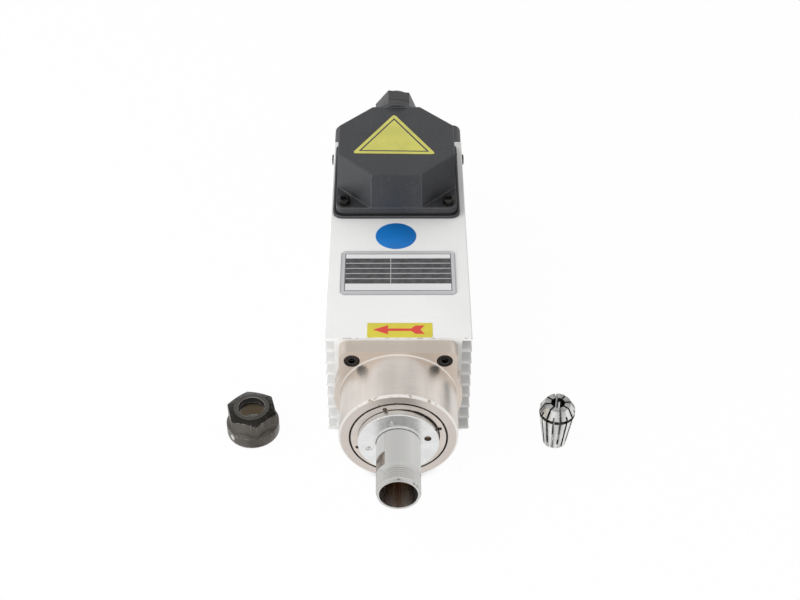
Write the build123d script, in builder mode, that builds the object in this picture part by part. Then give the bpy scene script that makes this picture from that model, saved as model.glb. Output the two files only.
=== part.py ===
from build123d import *
import os
from math import cos, pi, radians, sin, tan

# Air-cooled motor spindle: finned square body, front bearing boss, hollow collet nose, terminal box,
# rear fan under a cowl, and the clamping nut and collet standing loose beside it.
# Millimetres. The origin is the middle of the body's underside, +Z is up, the nose points to -Y.
os.makedirs("parts", exist_ok=True)

# ---- Driving dimensions: fits and clearances ----
seat_gap = 0.02  # radial, round parts seated in each other and never moving
thread_gap = 0.06  # radial, screwed parts that can turn
rolling_gap = 0.1  # ball to raceway
running_gap = 0.4  # turning parts beside standing parts
air_gap = 0.3  # rotor to stator

# ---- Driving dimensions: body extrusion ----
body_width = 85.0
body_height = 75.2
body_length = 192.0
rib_count = 9
rib_thickness = 2.2
rib_depth = 5.8
rib_round = 0.7
stator_bore = 64.0
foot_thread = 6.0
foot_pitch = 1.0
foot_spacing_x = 50.0
foot_spacing_y = 120.0
foot_depth = 10.0

# ---- Driving dimensions: front bearing housing ----
flange_width = 68.0
flange_inset = 1.85
flange_thickness = 10.0
flange_round = 5.5
flange_disc = 74.6
flange_screw_side = 7.5
flange_screw_edge = 6.75
flange_screw_thread = 5.0
flange_screw_length = 18.0
screw_head_rim = 1.0  # socket head diameter beyond 1.5 threads
tap_runout = 1.0  # hole depth beyond the screw end
counterbore_gap = 0.35
boss_diameter = 68.0
boss_length = 32.6
boss_chamfer = 1.2
boss_root_round = 0.9
spigot_length = 8.0
bearing_shoulder = 3.0
retainer_diameter = 55.4
retainer_gap = 0.35
retainer_thickness = 8.0
spanner_hole = 2.6
spanner_hole_depth = 4.0
spanner_circle = 48.8
spanner_turn = 18.0

# ---- Driving dimensions: bearings ----
front_bearing_bore = 25.0
front_bearing_outside = 52.0
front_bearing_width = 15.0
front_ball = 7.9
front_ball_count = 11
front_spacer_length = 5.0
rear_bearing_bore = 20.0
rear_bearing_outside = 47.0
rear_bearing_width = 14.0
rear_ball = 7.9
rear_ball_count = 8
ring_wall = 4.6
cage_thickness = 2.0
cage_margin = 2.0

# ---- Driving dimensions: shaft, nose and cap ----
nose_land = 24.7
nose_thread_length = 13.2
nose_thread_major = 24.9  # crest of the M25 thread, under its nominal size
nose_relief = 23.6
nose_relief_length = 1.2
nose_chamfer = 0.6
socket_mouth = 21.4
socket_half_angle = 8.0
socket_depth = 37.0
socket_bore = 13.5
wrench_width = 22.0
wrench_length = 9.5
wrench_turn = 155.0
cap_diameter = 46.0
cap_proud = 4.1
cap_chamfer = 0.4
cap_hub = 31.0
cap_collar = 27.0
cap_collar_height = 0.8
balance_thread = 4.0
balance_circle = 34.0
balance_depth = 2.8
balance_turn = 13.0
shoulder_diameter = 30.0
tail_diameter = 17.0
fan_seat = 14.0
circlip_thickness = 1.2
circlip_height = 1.6

# ---- Driving dimensions: motor ----
front_winding_room = 52.0
rear_winding_room = 60.0
crown_length = 20.0
crown_inside = 41.0
crown_outside = 61.0
crown_round = 3.0
stator_inside = 38.0
slot_count = 24
slot_width = 2.4
slot_opening = 1.0
slot_bottom = 56.0
slot_lip = 1.6
rotor_seat = 25.0
end_ring_length = 6.0
end_ring_inside = 28.0
end_ring_outside = 36.4

# ---- Driving dimensions: rear end ----
shield_thickness = 8.0
shield_spigot = 14.0
shield_screw_side = 10.2
shield_screw_edge = 6.3
shield_lug = 8.0
shield_lug_spacing = 40.0
shield_screw_length = 16.0
spring_room = 2.4
spring_thickness = 0.4
spring_waves = 3
cowl_length = 21.0
cowl_wall = 2.0
cowl_round = 5.0
cowl_gap = 0.3
cowl_screw_thread = 4.0
cowl_screw_length = 7.0
grille_slot = 3.0
grille_pitch = 6.0
grille_rings = 3
grille_hub = 24.0
grille_arms = 4
grille_arm_width = 5.0
fan_diameter = 62.0
fan_length = 8.0
fan_disc = 1.6
fan_hub = 24.0
fan_blades = 9
fan_blade_thickness = 1.4

# ---- Driving dimensions: terminal box ----
box_offset = -1.0
box_setback = 4.5
base_width = 80.0
base_length = 78.0
base_thickness = 2.0
base_round = 6.0
base_screw_spacing = 50.0
gasket_margin = 1.5
gasket_thickness = 1.2
gasket_frame = 4.5
cover_width = 76.0
cover_height = 30.0
cover_flange = 4.5
cover_round = 5.0
cover_corner = 22.0
cover_wall = 2.6
cover_draft = 2.6
cover_top_round = 1.0
cover_screw_spacing = 65.0
cover_screw_thread = 4.0
cover_screw_grip = 6.0
passage_diameter = 17.0
passage_ahead = 8.0
block_width = 46.0
block_length = 20.0
block_height = 12.0
block_behind = 13.0
stud_thread = 4.0
stud_height = 9.0
stud_spacing_x = 15.0
stud_spacing_y = 10.0
link_thickness = 1.0
link_width = 7.0
lead_diameter = 2.6
lead_spread = 5.0
lead_bend = 4.5
lead_rise = 7.0
base_screw_thread = 4.0

# ---- Driving dimensions: cable gland ----
gland_rise = 21.4
gland_thread = 20.0
gland_boss = 28.0
gland_boss_proud = 1.2
gland_hex = 24.0
gland_flange = 5.0
gland_neck = 17.0
gland_neck_length = 9.0
gland_inside = 14.0
gland_nut_hex_length = 9.5
gland_dome_length = 6.5
gland_mouth = 12.6
gland_turn = 8.0
seal_hole = 10.0
seal_gap = 0.3

# ---- Driving dimensions: clamping nut, standing on its thread end ----
nut_aside = 45.1
nut_ahead = 0.5
nut_turn = 44.2
nut_diameter = 31.5
nut_hex = 27.0
nut_height = 19.5
nut_skirt = 7.6
nut_shoulder = 1.5
nut_chamfer = 0.8
nut_thread_depth = 9.5
nut_relief = 1.6
nut_relief_depth = 0.5
ring_seat_lip = 1.0
nut_hole = 15.9
nut_seat_half_angle = 30.0
nut_dot = 2.4
nut_dot_depth = 0.8
nut_dot_height = 4.6
nut_dot_turn = 223.0
ring_thickness = 2.0
ring_hole = 18.4
ring_eccentric = 0.4

# ---- Driving dimensions: collet, standing on its small end ----
collet_aside = 51.2
collet_ahead = 9.1
collet_turn = 5.0
collet_length = 31.5
collet_diameter = 21.0
collet_bore = 8.0
collet_face = 15.2
collet_face_half_angle = 30.0
collet_rim = 0.6
collet_groove = 2.2
collet_groove_diameter = 17.6
collet_slit = 0.7
collet_slits = 8
collet_front_web = 4.0
collet_rear_web = 3.4

# ---- Stations along the shaft and heights, worked out from the above ----
shaft_height = body_height / 2
flange_height = body_height - 2 * flange_inset
flange_screw_x = flange_width - 2 * flange_screw_side
flange_screw_z = flange_height - 2 * flange_screw_edge
shield_width = body_width - 2 * rib_depth
shield_height = body_height - 2 * (cowl_wall + cowl_gap)
shield_screw_x = shield_width - 2 * shield_screw_side
shield_screw_z = shield_height - 2 * shield_screw_edge
body_front = -body_length / 2
body_rear = body_length / 2
flange_face = body_front - flange_thickness
boss_face = flange_face - boss_length
cap_front = boss_face - cap_proud
thread_rear = cap_front - nose_land
nose_end = thread_rear - nose_thread_length
relief_front = thread_rear - nose_relief_length
front_bearing_start = boss_face + retainer_thickness
front_pair_pitch = front_bearing_width + front_spacer_length
front_bearing_starts = [front_bearing_start, front_bearing_start + front_pair_pitch]
front_bearing_end = front_bearing_starts[-1] + front_bearing_width
stator_front = body_front + front_winding_room
stator_rear = body_rear - rear_winding_room
rear_bearing_start = body_rear - shield_spigot
rear_bearing_end = rear_bearing_start + rear_bearing_width
shield_rear = body_rear + shield_thickness
cowl_rear = body_rear + cowl_length
fan_front = shield_rear + 1.5 * running_gap
fan_rear = fan_front + fan_length
circlip_front = rear_bearing_end
front_pitch_radius = (front_bearing_bore + front_bearing_outside) / 4
rear_pitch_radius = (rear_bearing_bore + rear_bearing_outside) / 4
box_centre = body_rear - box_setback - base_length / 2
gasket_bottom = body_height + base_thickness
cover_bottom = gasket_bottom + gasket_thickness
cover_pad = cover_bottom + cover_flange
passage_centre = box_centre - passage_ahead
block_centre = box_centre + block_behind
block_front = block_centre - block_length / 2
block_top = gasket_bottom + block_height
gland_height = body_height + gland_rise
gland_seat = box_centre + cover_width / 2 + gland_boss_proud
gland_neck_start = gland_seat + gland_flange
gland_neck_end = gland_neck_start + gland_neck_length
gland_nut_front = gland_neck_start + running_gap
gland_nut_rear = gland_nut_front + gland_nut_hex_length + gland_dome_length

# ---- Planes and axes ----
lengthwise = Plane(origin=(0, 0, shaft_height), x_dir=(0, 1, 0), z_dir=(1, 0, 0))
shaft_axis = Axis((0, 0, shaft_height), (0, 1, 0))
gland_plane = Plane(origin=(box_offset, 0, gland_height), x_dir=(0, 1, 0), z_dir=(1, 0, 0))
gland_axis = Axis((box_offset, 0, gland_height), (0, 1, 0))
underside = Plane(origin=(0, 0, 0), x_dir=(1, 0, 0), z_dir=(0, 0, -1))


def facing_nose(station):
    """Plane across the shaft whose normal points to the nose, centred on the shaft."""
    return Plane(origin=(0, station, shaft_height), x_dir=(1, 0, 0), z_dir=(0, -1, 0))


def facing_rear(station):
    """Plane across the shaft whose normal points to the rear, centred on the shaft."""
    return Plane(origin=(0, station, shaft_height), x_dir=(-1, 0, 0), z_dir=(0, 1, 0))


def facing_rear_at_gland(station):
    """Plane across the cable gland whose normal points to the rear."""
    return Plane(origin=(box_offset, station, gland_height), x_dir=(-1, 0, 0), z_dir=(0, 1, 0))


def on_box(height):
    """Level plane centred on the terminal box."""
    return Plane(origin=(box_offset, box_centre, height))


def sleeve_section(start, end, inside, outside, plane=lengthwise):
    """Half section of a plain ring, from its two stations and two diameters."""
    with BuildSketch(plane) as section:
        with Locations(((start + end) / 2, (inside + outside) / 4)):
            Rectangle(end - start, (outside - inside) / 2)
    return section.sketch


def race_section(start, width, inside, outside, pitch_radius, ball):
    """Half section of a bearing ring with its ball groove."""
    with BuildSketch(lengthwise) as section:
        with Locations((start + width / 2, (inside + outside) / 4)):
            Rectangle(width, (outside - inside) / 2)
        with Locations((start + width / 2, pitch_radius)):
            Circle(ball / 2 + rolling_gap, mode=Mode.SUBTRACT)
    return section.sketch


def turned_section(corners, plane=lengthwise):
    """Half section through the given (station, radius) corners."""
    with BuildSketch(plane) as section:
        with BuildLine():
            Polyline(*corners, close=True)
        make_face()
    return section.sketch


def socket_screw(thread, length, head_height):
    """Socket head screw with its head on the XY plane and its shank below."""
    head = 1.5 * thread + screw_head_rim
    with BuildPart() as screw:
        with BuildSketch(Plane.XY):
            Circle(head / 2)
        extrude(amount=head_height)
        chamfer(screw.edges().group_by(Axis.Z)[-1], length=thread / 10)
        with BuildSketch(Plane.XY):
            Circle(thread / 2)
        extrude(amount=-length)
        with BuildSketch(Plane.XY.offset(head_height)):
            RegularPolygon(0.4 * thread, 6, major_radius=False)
        extrude(amount=-0.6 * thread, mode=Mode.SUBTRACT)
    return screw.part


def pan_screw(thread, length):
    """Low round-head screw with its head on the XY plane, its shank below and a cross recess."""
    head_height = 0.55 * thread
    with BuildPart() as screw:
        with BuildSketch(Plane.XY):
            Circle(thread)
        extrude(amount=head_height)
        fillet(screw.edges().group_by(Axis.Z)[-1], radius=0.7 * head_height)
        with BuildSketch(Plane.XY):
            Circle(thread / 2)
        extrude(amount=-length)
        with BuildSketch(Plane.XY.offset(head_height)):
            Rectangle(1.1 * thread, 0.25 * thread)
            Rectangle(0.25 * thread, 1.1 * thread)
        extrude(amount=-0.7 * head_height, mode=Mode.SUBTRACT)
    return screw.part


def cut_corner_outline(width, corner):
    """Square with its four corners cut off, as a face on the XY plane."""
    with BuildSketch() as outline:
        Rectangle(width, width)
        chamfer(outline.vertices(), length=corner)
    return outline.sketch


# ---- Body extrusion: nine cooling ribs a side, round bore, screw holes ----
rib_pitch = (body_height - rib_thickness) / (rib_count - 1)
rib_gap = rib_pitch - rib_thickness
with BuildPart() as motor_housing:
    with BuildSketch(facing_nose(body_front)) as extrusion_outline:
        Rectangle(body_width, body_height)
        with GridLocations(body_width - rib_depth, rib_pitch, 2, rib_count - 1):
            Rectangle(rib_depth, rib_gap, mode=Mode.SUBTRACT)
        rib_tips = extrusion_outline.vertices().group_by(Axis.X)
        fillet(rib_tips[0] + rib_tips[-1], radius=rib_round)
        Circle(stator_bore / 2, mode=Mode.SUBTRACT)
    extrude(amount=-body_length)
    with Locations(facing_nose(body_front)):
        with GridLocations(flange_screw_x, flange_screw_z, 2, 2):
            Hole(flange_screw_thread / 2 + seat_gap, flange_screw_length)
    with Locations(facing_rear(body_rear)):
        with GridLocations(shield_screw_x, shield_screw_z, 2, 2):
            Hole(flange_screw_thread / 2 + seat_gap, shield_screw_length)
    with Locations(underside):
        with GridLocations(foot_spacing_x, foot_spacing_y, 2, 2):
            Hole((foot_thread - foot_pitch) / 2, foot_depth)
    with Locations(on_box(body_height)):
        with GridLocations(cover_screw_spacing, cover_screw_spacing, 2, 2):
            Hole(cover_screw_thread / 2 + seat_gap, cover_screw_grip + tap_runout)
        with Locations((0, -passage_ahead)):
            Hole(passage_diameter / 2, body_height - shaft_height)
        with Locations((0, -passage_ahead)):
            with GridLocations(base_screw_spacing, 0, 2, 1):
                Hole(base_screw_thread / 2 + seat_gap, cover_screw_grip)
motor_housing.part.label = "motor_housing"
export_step(motor_housing.part, "parts/motor_housing.step")

# ---- Front bearing housing: flange with disc, boss, bearing bore and spigot ----
flange_screw_head = flange_screw_thread
flange_counterbore = (1.5 * flange_screw_thread + screw_head_rim) / 2 + counterbore_gap
spigot_end = body_front + spigot_length
with BuildPart() as front_bearing_housing:
    with BuildSketch(facing_nose(body_front)):
        Circle(flange_disc / 2)
        Rectangle(flange_disc, flange_height, mode=Mode.INTERSECT)
        RectangleRounded(flange_width, flange_height, flange_round)
    extrude(amount=flange_thickness)
    with BuildSketch(facing_nose(flange_face)):
        Circle(boss_diameter / 2)
    extrude(amount=boss_length)
    boss_rings = front_bearing_housing.edges().filter_by(GeomType.CIRCLE)
    boss_rings = boss_rings.filter_by(lambda edge: abs(edge.radius - boss_diameter / 2) < seat_gap)
    chamfer(boss_rings.group_by(Axis.Y)[0], length=boss_chamfer)
    fillet(boss_rings.group_by(Axis.Y)[-1], radius=boss_root_round)
    with BuildSketch(facing_nose(body_front)):
        Circle(stator_bore / 2 - seat_gap)
    extrude(amount=-spigot_length)
    revolve(sleeve_section(boss_face, front_bearing_start, 0, retainer_diameter),
            axis=shaft_axis, mode=Mode.SUBTRACT)
    revolve(sleeve_section(boss_face, front_bearing_end, 0, front_bearing_outside + 2 * seat_gap),
            axis=shaft_axis, mode=Mode.SUBTRACT)
    revolve(sleeve_section(boss_face, spigot_end, 0, front_bearing_outside - 2 * bearing_shoulder),
            axis=shaft_axis, mode=Mode.SUBTRACT)
    with Locations(facing_nose(flange_face)):
        with GridLocations(flange_screw_x, flange_screw_z, 2, 2):
            CounterBoreHole(flange_screw_thread / 2 + seat_gap, flange_counterbore,
                            flange_screw_head, flange_thickness)
front_bearing_housing.part.label = "front_bearing_housing"
export_step(front_bearing_housing.part, "parts/front_bearing_housing.step")

with BuildPart() as front_flange_screws:
    with Locations(facing_nose(flange_face + flange_screw_head)):
        with GridLocations(flange_screw_x, flange_screw_z, 2, 2):
            add(socket_screw(flange_screw_thread, flange_screw_length, flange_screw_head))
front_flange_screws.part.label = "front_flange_screws"
export_step(front_flange_screws.part, "parts/front_flange_screws.step")

# ---- Threaded ring that holds the front bearings, with four spanner holes ----
with BuildPart() as bearing_retainer_ring:
    revolve(sleeve_section(boss_face, front_bearing_start, cap_hub + 2 * running_gap,
                           retainer_diameter - 2 * retainer_gap), axis=shaft_axis)
    with Locations(facing_nose(boss_face)):
        with PolarLocations(spanner_circle / 2, 4, start_angle=spanner_turn):
            Hole(spanner_hole / 2, spanner_hole_depth)
bearing_retainer_ring.part.label = "bearing_retainer_ring"
export_step(bearing_retainer_ring.part, "parts/bearing_retainer_ring.step")

# ---- Front bearing pair ----
front_outer_inside = front_bearing_outside - 2 * ring_wall
front_inner_outside = front_bearing_bore + 2 * ring_wall
with BuildPart() as front_bearing_outer_rings:
    for start in front_bearing_starts:
        revolve(race_section(start, front_bearing_width, front_outer_inside, front_bearing_outside,
                             front_pitch_radius, front_ball), axis=shaft_axis)
front_bearing_outer_rings.part.label = "front_bearing_outer_rings"
export_step(front_bearing_outer_rings.part, "parts/front_bearing_outer_rings.step")

with BuildPart() as front_bearing_inner_rings:
    for start in front_bearing_starts:
        revolve(race_section(start, front_bearing_width, front_bearing_bore + 2 * seat_gap,
                             front_inner_outside, front_pitch_radius, front_ball), axis=shaft_axis)
front_bearing_inner_rings.part.label = "front_bearing_inner_rings"
export_step(front_bearing_inner_rings.part, "parts/front_bearing_inner_rings.step")

with BuildPart() as front_bearing_balls:
    for start in front_bearing_starts:
        with Locations(facing_nose(start + front_bearing_width / 2)):
            with PolarLocations(front_pitch_radius, front_ball_count):
                Sphere(front_ball / 2)
front_bearing_balls.part.label = "front_bearing_balls"
export_step(front_bearing_balls.part, "parts/front_bearing_balls.step")

with BuildPart() as front_bearing_cages:
    for start in front_bearing_starts:
        revolve(sleeve_section(start + cage_margin, start + front_bearing_width - cage_margin,
                               2 * front_pitch_radius - cage_thickness,
                               2 * front_pitch_radius + cage_thickness), axis=shaft_axis)
        with Locations(facing_nose(start + front_bearing_width / 2)):
            with PolarLocations(front_pitch_radius, front_ball_count):
                Cylinder(front_ball / 2 + rolling_gap, 3 * cage_thickness, rotation=(0, 90, 0),
                         mode=Mode.SUBTRACT)
front_bearing_cages.part.label = "front_bearing_cages"
export_step(front_bearing_cages.part, "parts/front_bearing_cages.step")

spacer_start = front_bearing_starts[0] + front_bearing_width
spacer_end = spacer_start + front_spacer_length
with BuildPart() as front_outer_spacer:
    revolve(sleeve_section(spacer_start, spacer_end, front_outer_inside, front_bearing_outside),
            axis=shaft_axis)
front_outer_spacer.part.label = "front_outer_spacer"
export_step(front_outer_spacer.part, "parts/front_outer_spacer.step")

with BuildPart() as front_inner_spacer:
    revolve(sleeve_section(spacer_start, spacer_end, front_bearing_bore + 2 * seat_gap,
                           front_inner_outside), axis=shaft_axis)
front_inner_spacer.part.label = "front_inner_spacer"
export_step(front_inner_spacer.part, "parts/front_inner_spacer.step")

# ---- Hollow spindle shaft: taper socket, thread land, wrench flats, bearing and rotor seats ----
nose_radius = front_bearing_bore / 2
socket_taper_length = (socket_mouth - socket_bore) / 2 / tan(radians(socket_half_angle))
drill_tip = socket_bore / 2 * tan(radians(31))
circlip_end = circlip_front + circlip_thickness
fan_circlip_front = fan_rear
shaft_end = fan_rear + circlip_thickness
with BuildPart() as spindle_shaft:
    revolve(turned_section([
        (nose_end, 0), (nose_end, nose_thread_major / 2), (relief_front, nose_thread_major / 2),
        (relief_front, nose_relief / 2), (thread_rear, nose_relief / 2),
        (thread_rear, nose_radius), (front_bearing_end, nose_radius),
        (front_bearing_end, shoulder_diameter / 2), (stator_front, shoulder_diameter / 2),
        (stator_front, rotor_seat / 2), (stator_rear + end_ring_length, rotor_seat / 2),
        (rear_bearing_start, rotor_seat / 2), (rear_bearing_start, rear_bearing_bore / 2),
        (circlip_end, rear_bearing_bore / 2), (circlip_end, tail_diameter / 2),
        (fan_front, tail_diameter / 2), (fan_front, fan_seat / 2), (shaft_end, fan_seat / 2),
        (shaft_end, 0)]), axis=shaft_axis)
    nose_rim = spindle_shaft.edges().filter_by(GeomType.CIRCLE).group_by(Axis.Y)[0]
    chamfer(nose_rim, length=nose_chamfer)
    revolve(turned_section([
        (nose_end, 0), (nose_end, socket_mouth / 2),
        (nose_end + socket_taper_length, socket_bore / 2), (nose_end + socket_depth, socket_bore / 2),
        (nose_end + socket_depth + drill_tip, 0)]), axis=shaft_axis, mode=Mode.SUBTRACT)
    with BuildSketch(facing_nose(thread_rear + running_gap)) as wrench_flats:
        Circle(front_bearing_bore)
        Rectangle(wrench_width, 2 * front_bearing_bore, rotation=wrench_turn, mode=Mode.SUBTRACT)
    extrude(amount=-wrench_length, mode=Mode.SUBTRACT)
spindle_shaft.part.label = "spindle_shaft"
export_step(spindle_shaft.part, "parts/spindle_shaft.step")

# ---- Labyrinth cap: clamps the inner rings, four balance holes on its face ----
cap_rear = boss_face - running_gap
with BuildPart() as labyrinth_cap:
    revolve(turned_section([
        (cap_front - cap_collar_height, nose_radius + seat_gap),
        (cap_front - cap_collar_height, cap_collar / 2), (cap_front, cap_collar / 2),
        (cap_front, cap_diameter / 2 - cap_chamfer), (cap_front + cap_chamfer, cap_diameter / 2),
        (cap_rear, cap_diameter / 2), (cap_rear, cap_hub / 2), (front_bearing_start, cap_hub / 2),
        (front_bearing_start, nose_radius + seat_gap)]), axis=shaft_axis)
    with Locations(facing_nose(cap_front)):
        with PolarLocations(balance_circle / 2, 4, start_angle=balance_turn):
            Hole(balance_thread / 2 + seat_gap, balance_depth)
labyrinth_cap.part.label = "labyrinth_cap"
export_step(labyrinth_cap.part, "parts/labyrinth_cap.step")

with BuildPart() as balance_screws:
    with BuildSketch(facing_nose(cap_front + balance_depth)):
        with PolarLocations(balance_circle / 2, 3, start_angle=balance_turn + 90,
                            angular_range=180, endpoint=True):
            Circle(balance_thread / 2)
    extrude(amount=balance_depth - cap_chamfer)
    with BuildSketch(facing_nose(cap_front + cap_chamfer)):
        with PolarLocations(balance_circle / 2, 3, start_angle=balance_turn + 90,
                            angular_range=180, endpoint=True):
            RegularPolygon(balance_thread / 4, 6, major_radius=False)
    extrude(amount=-balance_depth / 2, mode=Mode.SUBTRACT)
balance_screws.part.label = "balance_screws"
export_step(balance_screws.part, "parts/balance_screws.step")

# ---- Motor: slotted stator stack, winding crowns, rotor stack and end rings ----
with BuildPart() as stator_core:
    with BuildSketch(facing_nose(stator_front)):
        Circle(stator_bore / 2 - seat_gap)
        Circle(stator_inside / 2, mode=Mode.SUBTRACT)
        slot_top = stator_inside / 2 + slot_lip
        with PolarLocations((slot_top + slot_bottom / 2) / 2, slot_count):
            Rectangle(slot_bottom / 2 - slot_top, slot_width, mode=Mode.SUBTRACT)
        with PolarLocations(stator_inside / 2 + slot_lip / 2, slot_count):
            Rectangle(2 * slot_lip, slot_opening, mode=Mode.SUBTRACT)
    extrude(amount=stator_front - stator_rear)
stator_core.part.label = "stator_core"
export_step(stator_core.part, "parts/stator_core.step")

with BuildPart() as stator_windings:
    for start in (stator_front - crown_length, stator_rear):
        with BuildSketch(lengthwise):
            with Locations((start + crown_length / 2, (crown_inside + crown_outside) / 4)):
                RectangleRounded(crown_length, (crown_outside - crown_inside) / 2, crown_round)
        revolve(axis=shaft_axis)
stator_windings.part.label = "stator_windings"
export_step(stator_windings.part, "parts/stator_windings.step")

with BuildPart() as rotor_core:
    revolve(sleeve_section(stator_front, stator_rear, rotor_seat + 2 * seat_gap,
                           stator_inside - 2 * air_gap), axis=shaft_axis)
rotor_core.part.label = "rotor_core"
export_step(rotor_core.part, "parts/rotor_core.step")

with BuildPart() as rotor_end_rings:
    for start in (stator_front - end_ring_length, stator_rear):
        inside = max(end_ring_inside, shoulder_diameter + 2 * seat_gap)
        revolve(sleeve_section(start, start + end_ring_length, inside, end_ring_outside),
                axis=shaft_axis)
rotor_end_rings.part.label = "rotor_end_rings"
export_step(rotor_end_rings.part, "parts/rotor_end_rings.step")

# ---- Rear end shield: bearing seat, spigot, lugs for the cowl screws ----
cowl_inside_width = body_width - 2 * cowl_wall
spring_seat = rear_bearing_end + spring_room
with BuildPart() as rear_end_shield:
    with BuildSketch(facing_rear(body_rear)):
        RectangleRounded(shield_width, shield_height, cowl_round)
        with GridLocations(0, shield_lug_spacing, 1, 2):
            Rectangle(cowl_inside_width - 2 * cowl_gap, shield_lug)
    extrude(amount=shield_thickness)
    with BuildSketch(facing_rear(body_rear)):
        Circle(stator_bore / 2 - seat_gap)
    extrude(amount=-shield_spigot)
    revolve(sleeve_section(rear_bearing_start, spring_seat, 0, rear_bearing_outside + 2 * seat_gap),
            axis=shaft_axis, mode=Mode.SUBTRACT)
    revolve(sleeve_section(rear_bearing_start, shield_rear, 0, rear_bearing_bore + 4 * running_gap),
            axis=shaft_axis, mode=Mode.SUBTRACT)
    with Locations(facing_rear(shield_rear)):
        with GridLocations(shield_screw_x, shield_screw_z, 2, 2):
            CounterBoreHole(flange_screw_thread / 2 + seat_gap, flange_counterbore,
                            flange_screw_head, shield_thickness)
    for side in (-1, 1):
        with Locations(Plane(origin=(side * (cowl_inside_width / 2 - cowl_gap),
                                     body_rear + shield_thickness / 2, shaft_height),
                             x_dir=(0, 1, 0), z_dir=(side, 0, 0))):
            with GridLocations(0, shield_lug_spacing, 1, 2):
                Hole(cowl_screw_thread / 2 + seat_gap, cowl_screw_length)
rear_end_shield.part.label = "rear_end_shield"
export_step(rear_end_shield.part, "parts/rear_end_shield.step")

with BuildPart() as rear_shield_screws:
    with Locations(facing_rear(shield_rear - flange_screw_head)):
        with GridLocations(shield_screw_x, shield_screw_z, 2, 2):
            add(socket_screw(flange_screw_thread, shield_screw_length, flange_screw_head))
rear_shield_screws.part.label = "rear_shield_screws"
export_step(rear_shield_screws.part, "parts/rear_shield_screws.step")

# ---- Rear bearing, its preload spring and circlip ----
rear_outer_inside = rear_bearing_outside - 2 * ring_wall
rear_inner_outside = rear_bearing_bore + 2 * ring_wall
with BuildPart() as rear_bearing_outer_ring:
    revolve(race_section(rear_bearing_start, rear_bearing_width, rear_outer_inside,
                         rear_bearing_outside, rear_pitch_radius, rear_ball), axis=shaft_axis)
rear_bearing_outer_ring.part.label = "rear_bearing_outer_ring"
export_step(rear_bearing_outer_ring.part, "parts/rear_bearing_outer_ring.step")

with BuildPart() as rear_bearing_inner_ring:
    revolve(race_section(rear_bearing_start, rear_bearing_width, rear_bearing_bore + 2 * seat_gap,
                         rear_inner_outside, rear_pitch_radius, rear_ball), axis=shaft_axis)
rear_bearing_inner_ring.part.label = "rear_bearing_inner_ring"
export_step(rear_bearing_inner_ring.part, "parts/rear_bearing_inner_ring.step")

with BuildPart() as rear_bearing_balls:
    with Locations(facing_nose(rear_bearing_start + rear_bearing_width / 2)):
        with PolarLocations(rear_pitch_radius, rear_ball_count):
            Sphere(rear_ball / 2)
rear_bearing_balls.part.label = "rear_bearing_balls"
export_step(rear_bearing_balls.part, "parts/rear_bearing_balls.step")

with BuildPart() as rear_bearing_cage:
    revolve(sleeve_section(rear_bearing_start + cage_margin, rear_bearing_end - cage_margin,
                           2 * rear_pitch_radius - cage_thickness,
                           2 * rear_pitch_radius + cage_thickness), axis=shaft_axis)
    with Locations(facing_nose(rear_bearing_start + rear_bearing_width / 2)):
        with PolarLocations(rear_pitch_radius, rear_ball_count):
            Cylinder(rear_ball / 2 + rolling_gap, 3 * cage_thickness, rotation=(0, 90, 0),
                     mode=Mode.SUBTRACT)
rear_bearing_cage.part.label = "rear_bearing_cage"
export_step(rear_bearing_cage.part, "parts/rear_bearing_cage.step")

spring_wave = (spring_room - spring_thickness - 2 * seat_gap) / 2
spring_middle = rear_bearing_end + spring_room / 2


def wave_rim(radius, lift):
    """Closed wavy edge round the shaft, moved along the shaft by lift."""
    steps = 8 * spring_waves
    crests = [spring_middle + lift + spring_wave * cos(2 * pi * spring_waves * step / steps)
              for step in range(steps)]
    rim = [(radius * cos(2 * pi * step / steps), crests[step],
            shaft_height + radius * sin(2 * pi * step / steps)) for step in range(steps)]
    return Edge.make_spline(rim, periodic=True)


spring_faces = []
spring_radii = (rear_outer_inside / 2, rear_bearing_outside / 2 - 3 * seat_gap)
for lift in (-spring_thickness / 2, spring_thickness / 2):
    rims = [wave_rim(radius, lift) for radius in spring_radii]
    spring_faces.append(Face.make_surface_from_curves(*rims))
for radius in spring_radii:
    rims = [wave_rim(radius, lift) for lift in (-spring_thickness / 2, spring_thickness / 2)]
    spring_faces.append(Face.make_surface_from_curves(*rims))
with BuildPart() as preload_wave_spring:
    add(Solid(Shell(spring_faces)))
preload_wave_spring.part.label = "preload_wave_spring"
export_step(preload_wave_spring.part, "parts/preload_wave_spring.step")

with BuildPart() as rear_bearing_circlip:
    with BuildSketch(facing_rear(circlip_front)):
        Circle(rear_bearing_bore / 2 + circlip_height)
        Circle(rear_bearing_bore / 2 + seat_gap, mode=Mode.SUBTRACT)
        with Locations((0, -rear_bearing_bore / 2)):
            Rectangle(3 * circlip_height, rear_bearing_bore / 2, mode=Mode.SUBTRACT)
    extrude(amount=circlip_thickness)
rear_bearing_circlip.part.label = "rear_bearing_circlip"
export_step(rear_bearing_circlip.part, "parts/rear_bearing_circlip.step")

# ---- Fan with curved blades on a disc, its circlip, and the cowl with a slotted grille ----
with BuildPart() as cooling_fan:
    revolve(sleeve_section(fan_front, fan_front + fan_disc, fan_seat + 2 * seat_gap, fan_diameter),
            axis=shaft_axis)
    revolve(sleeve_section(fan_front, fan_rear, fan_seat + 2 * seat_gap, fan_hub), axis=shaft_axis)
    blade_reach = (fan_diameter - fan_hub) / 2
    blade_arc = CenterArc((fan_hub / 2 + blade_reach / 2, -blade_reach), blade_reach, 62, 56)
    with BuildSketch(facing_rear(fan_front)):
        with PolarLocations(0, fan_blades):
            SlotArc(blade_arc, fan_blade_thickness)
    extrude(amount=fan_length - running_gap)
cooling_fan.part.label = "cooling_fan"
export_step(cooling_fan.part, "parts/cooling_fan.step")

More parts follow.
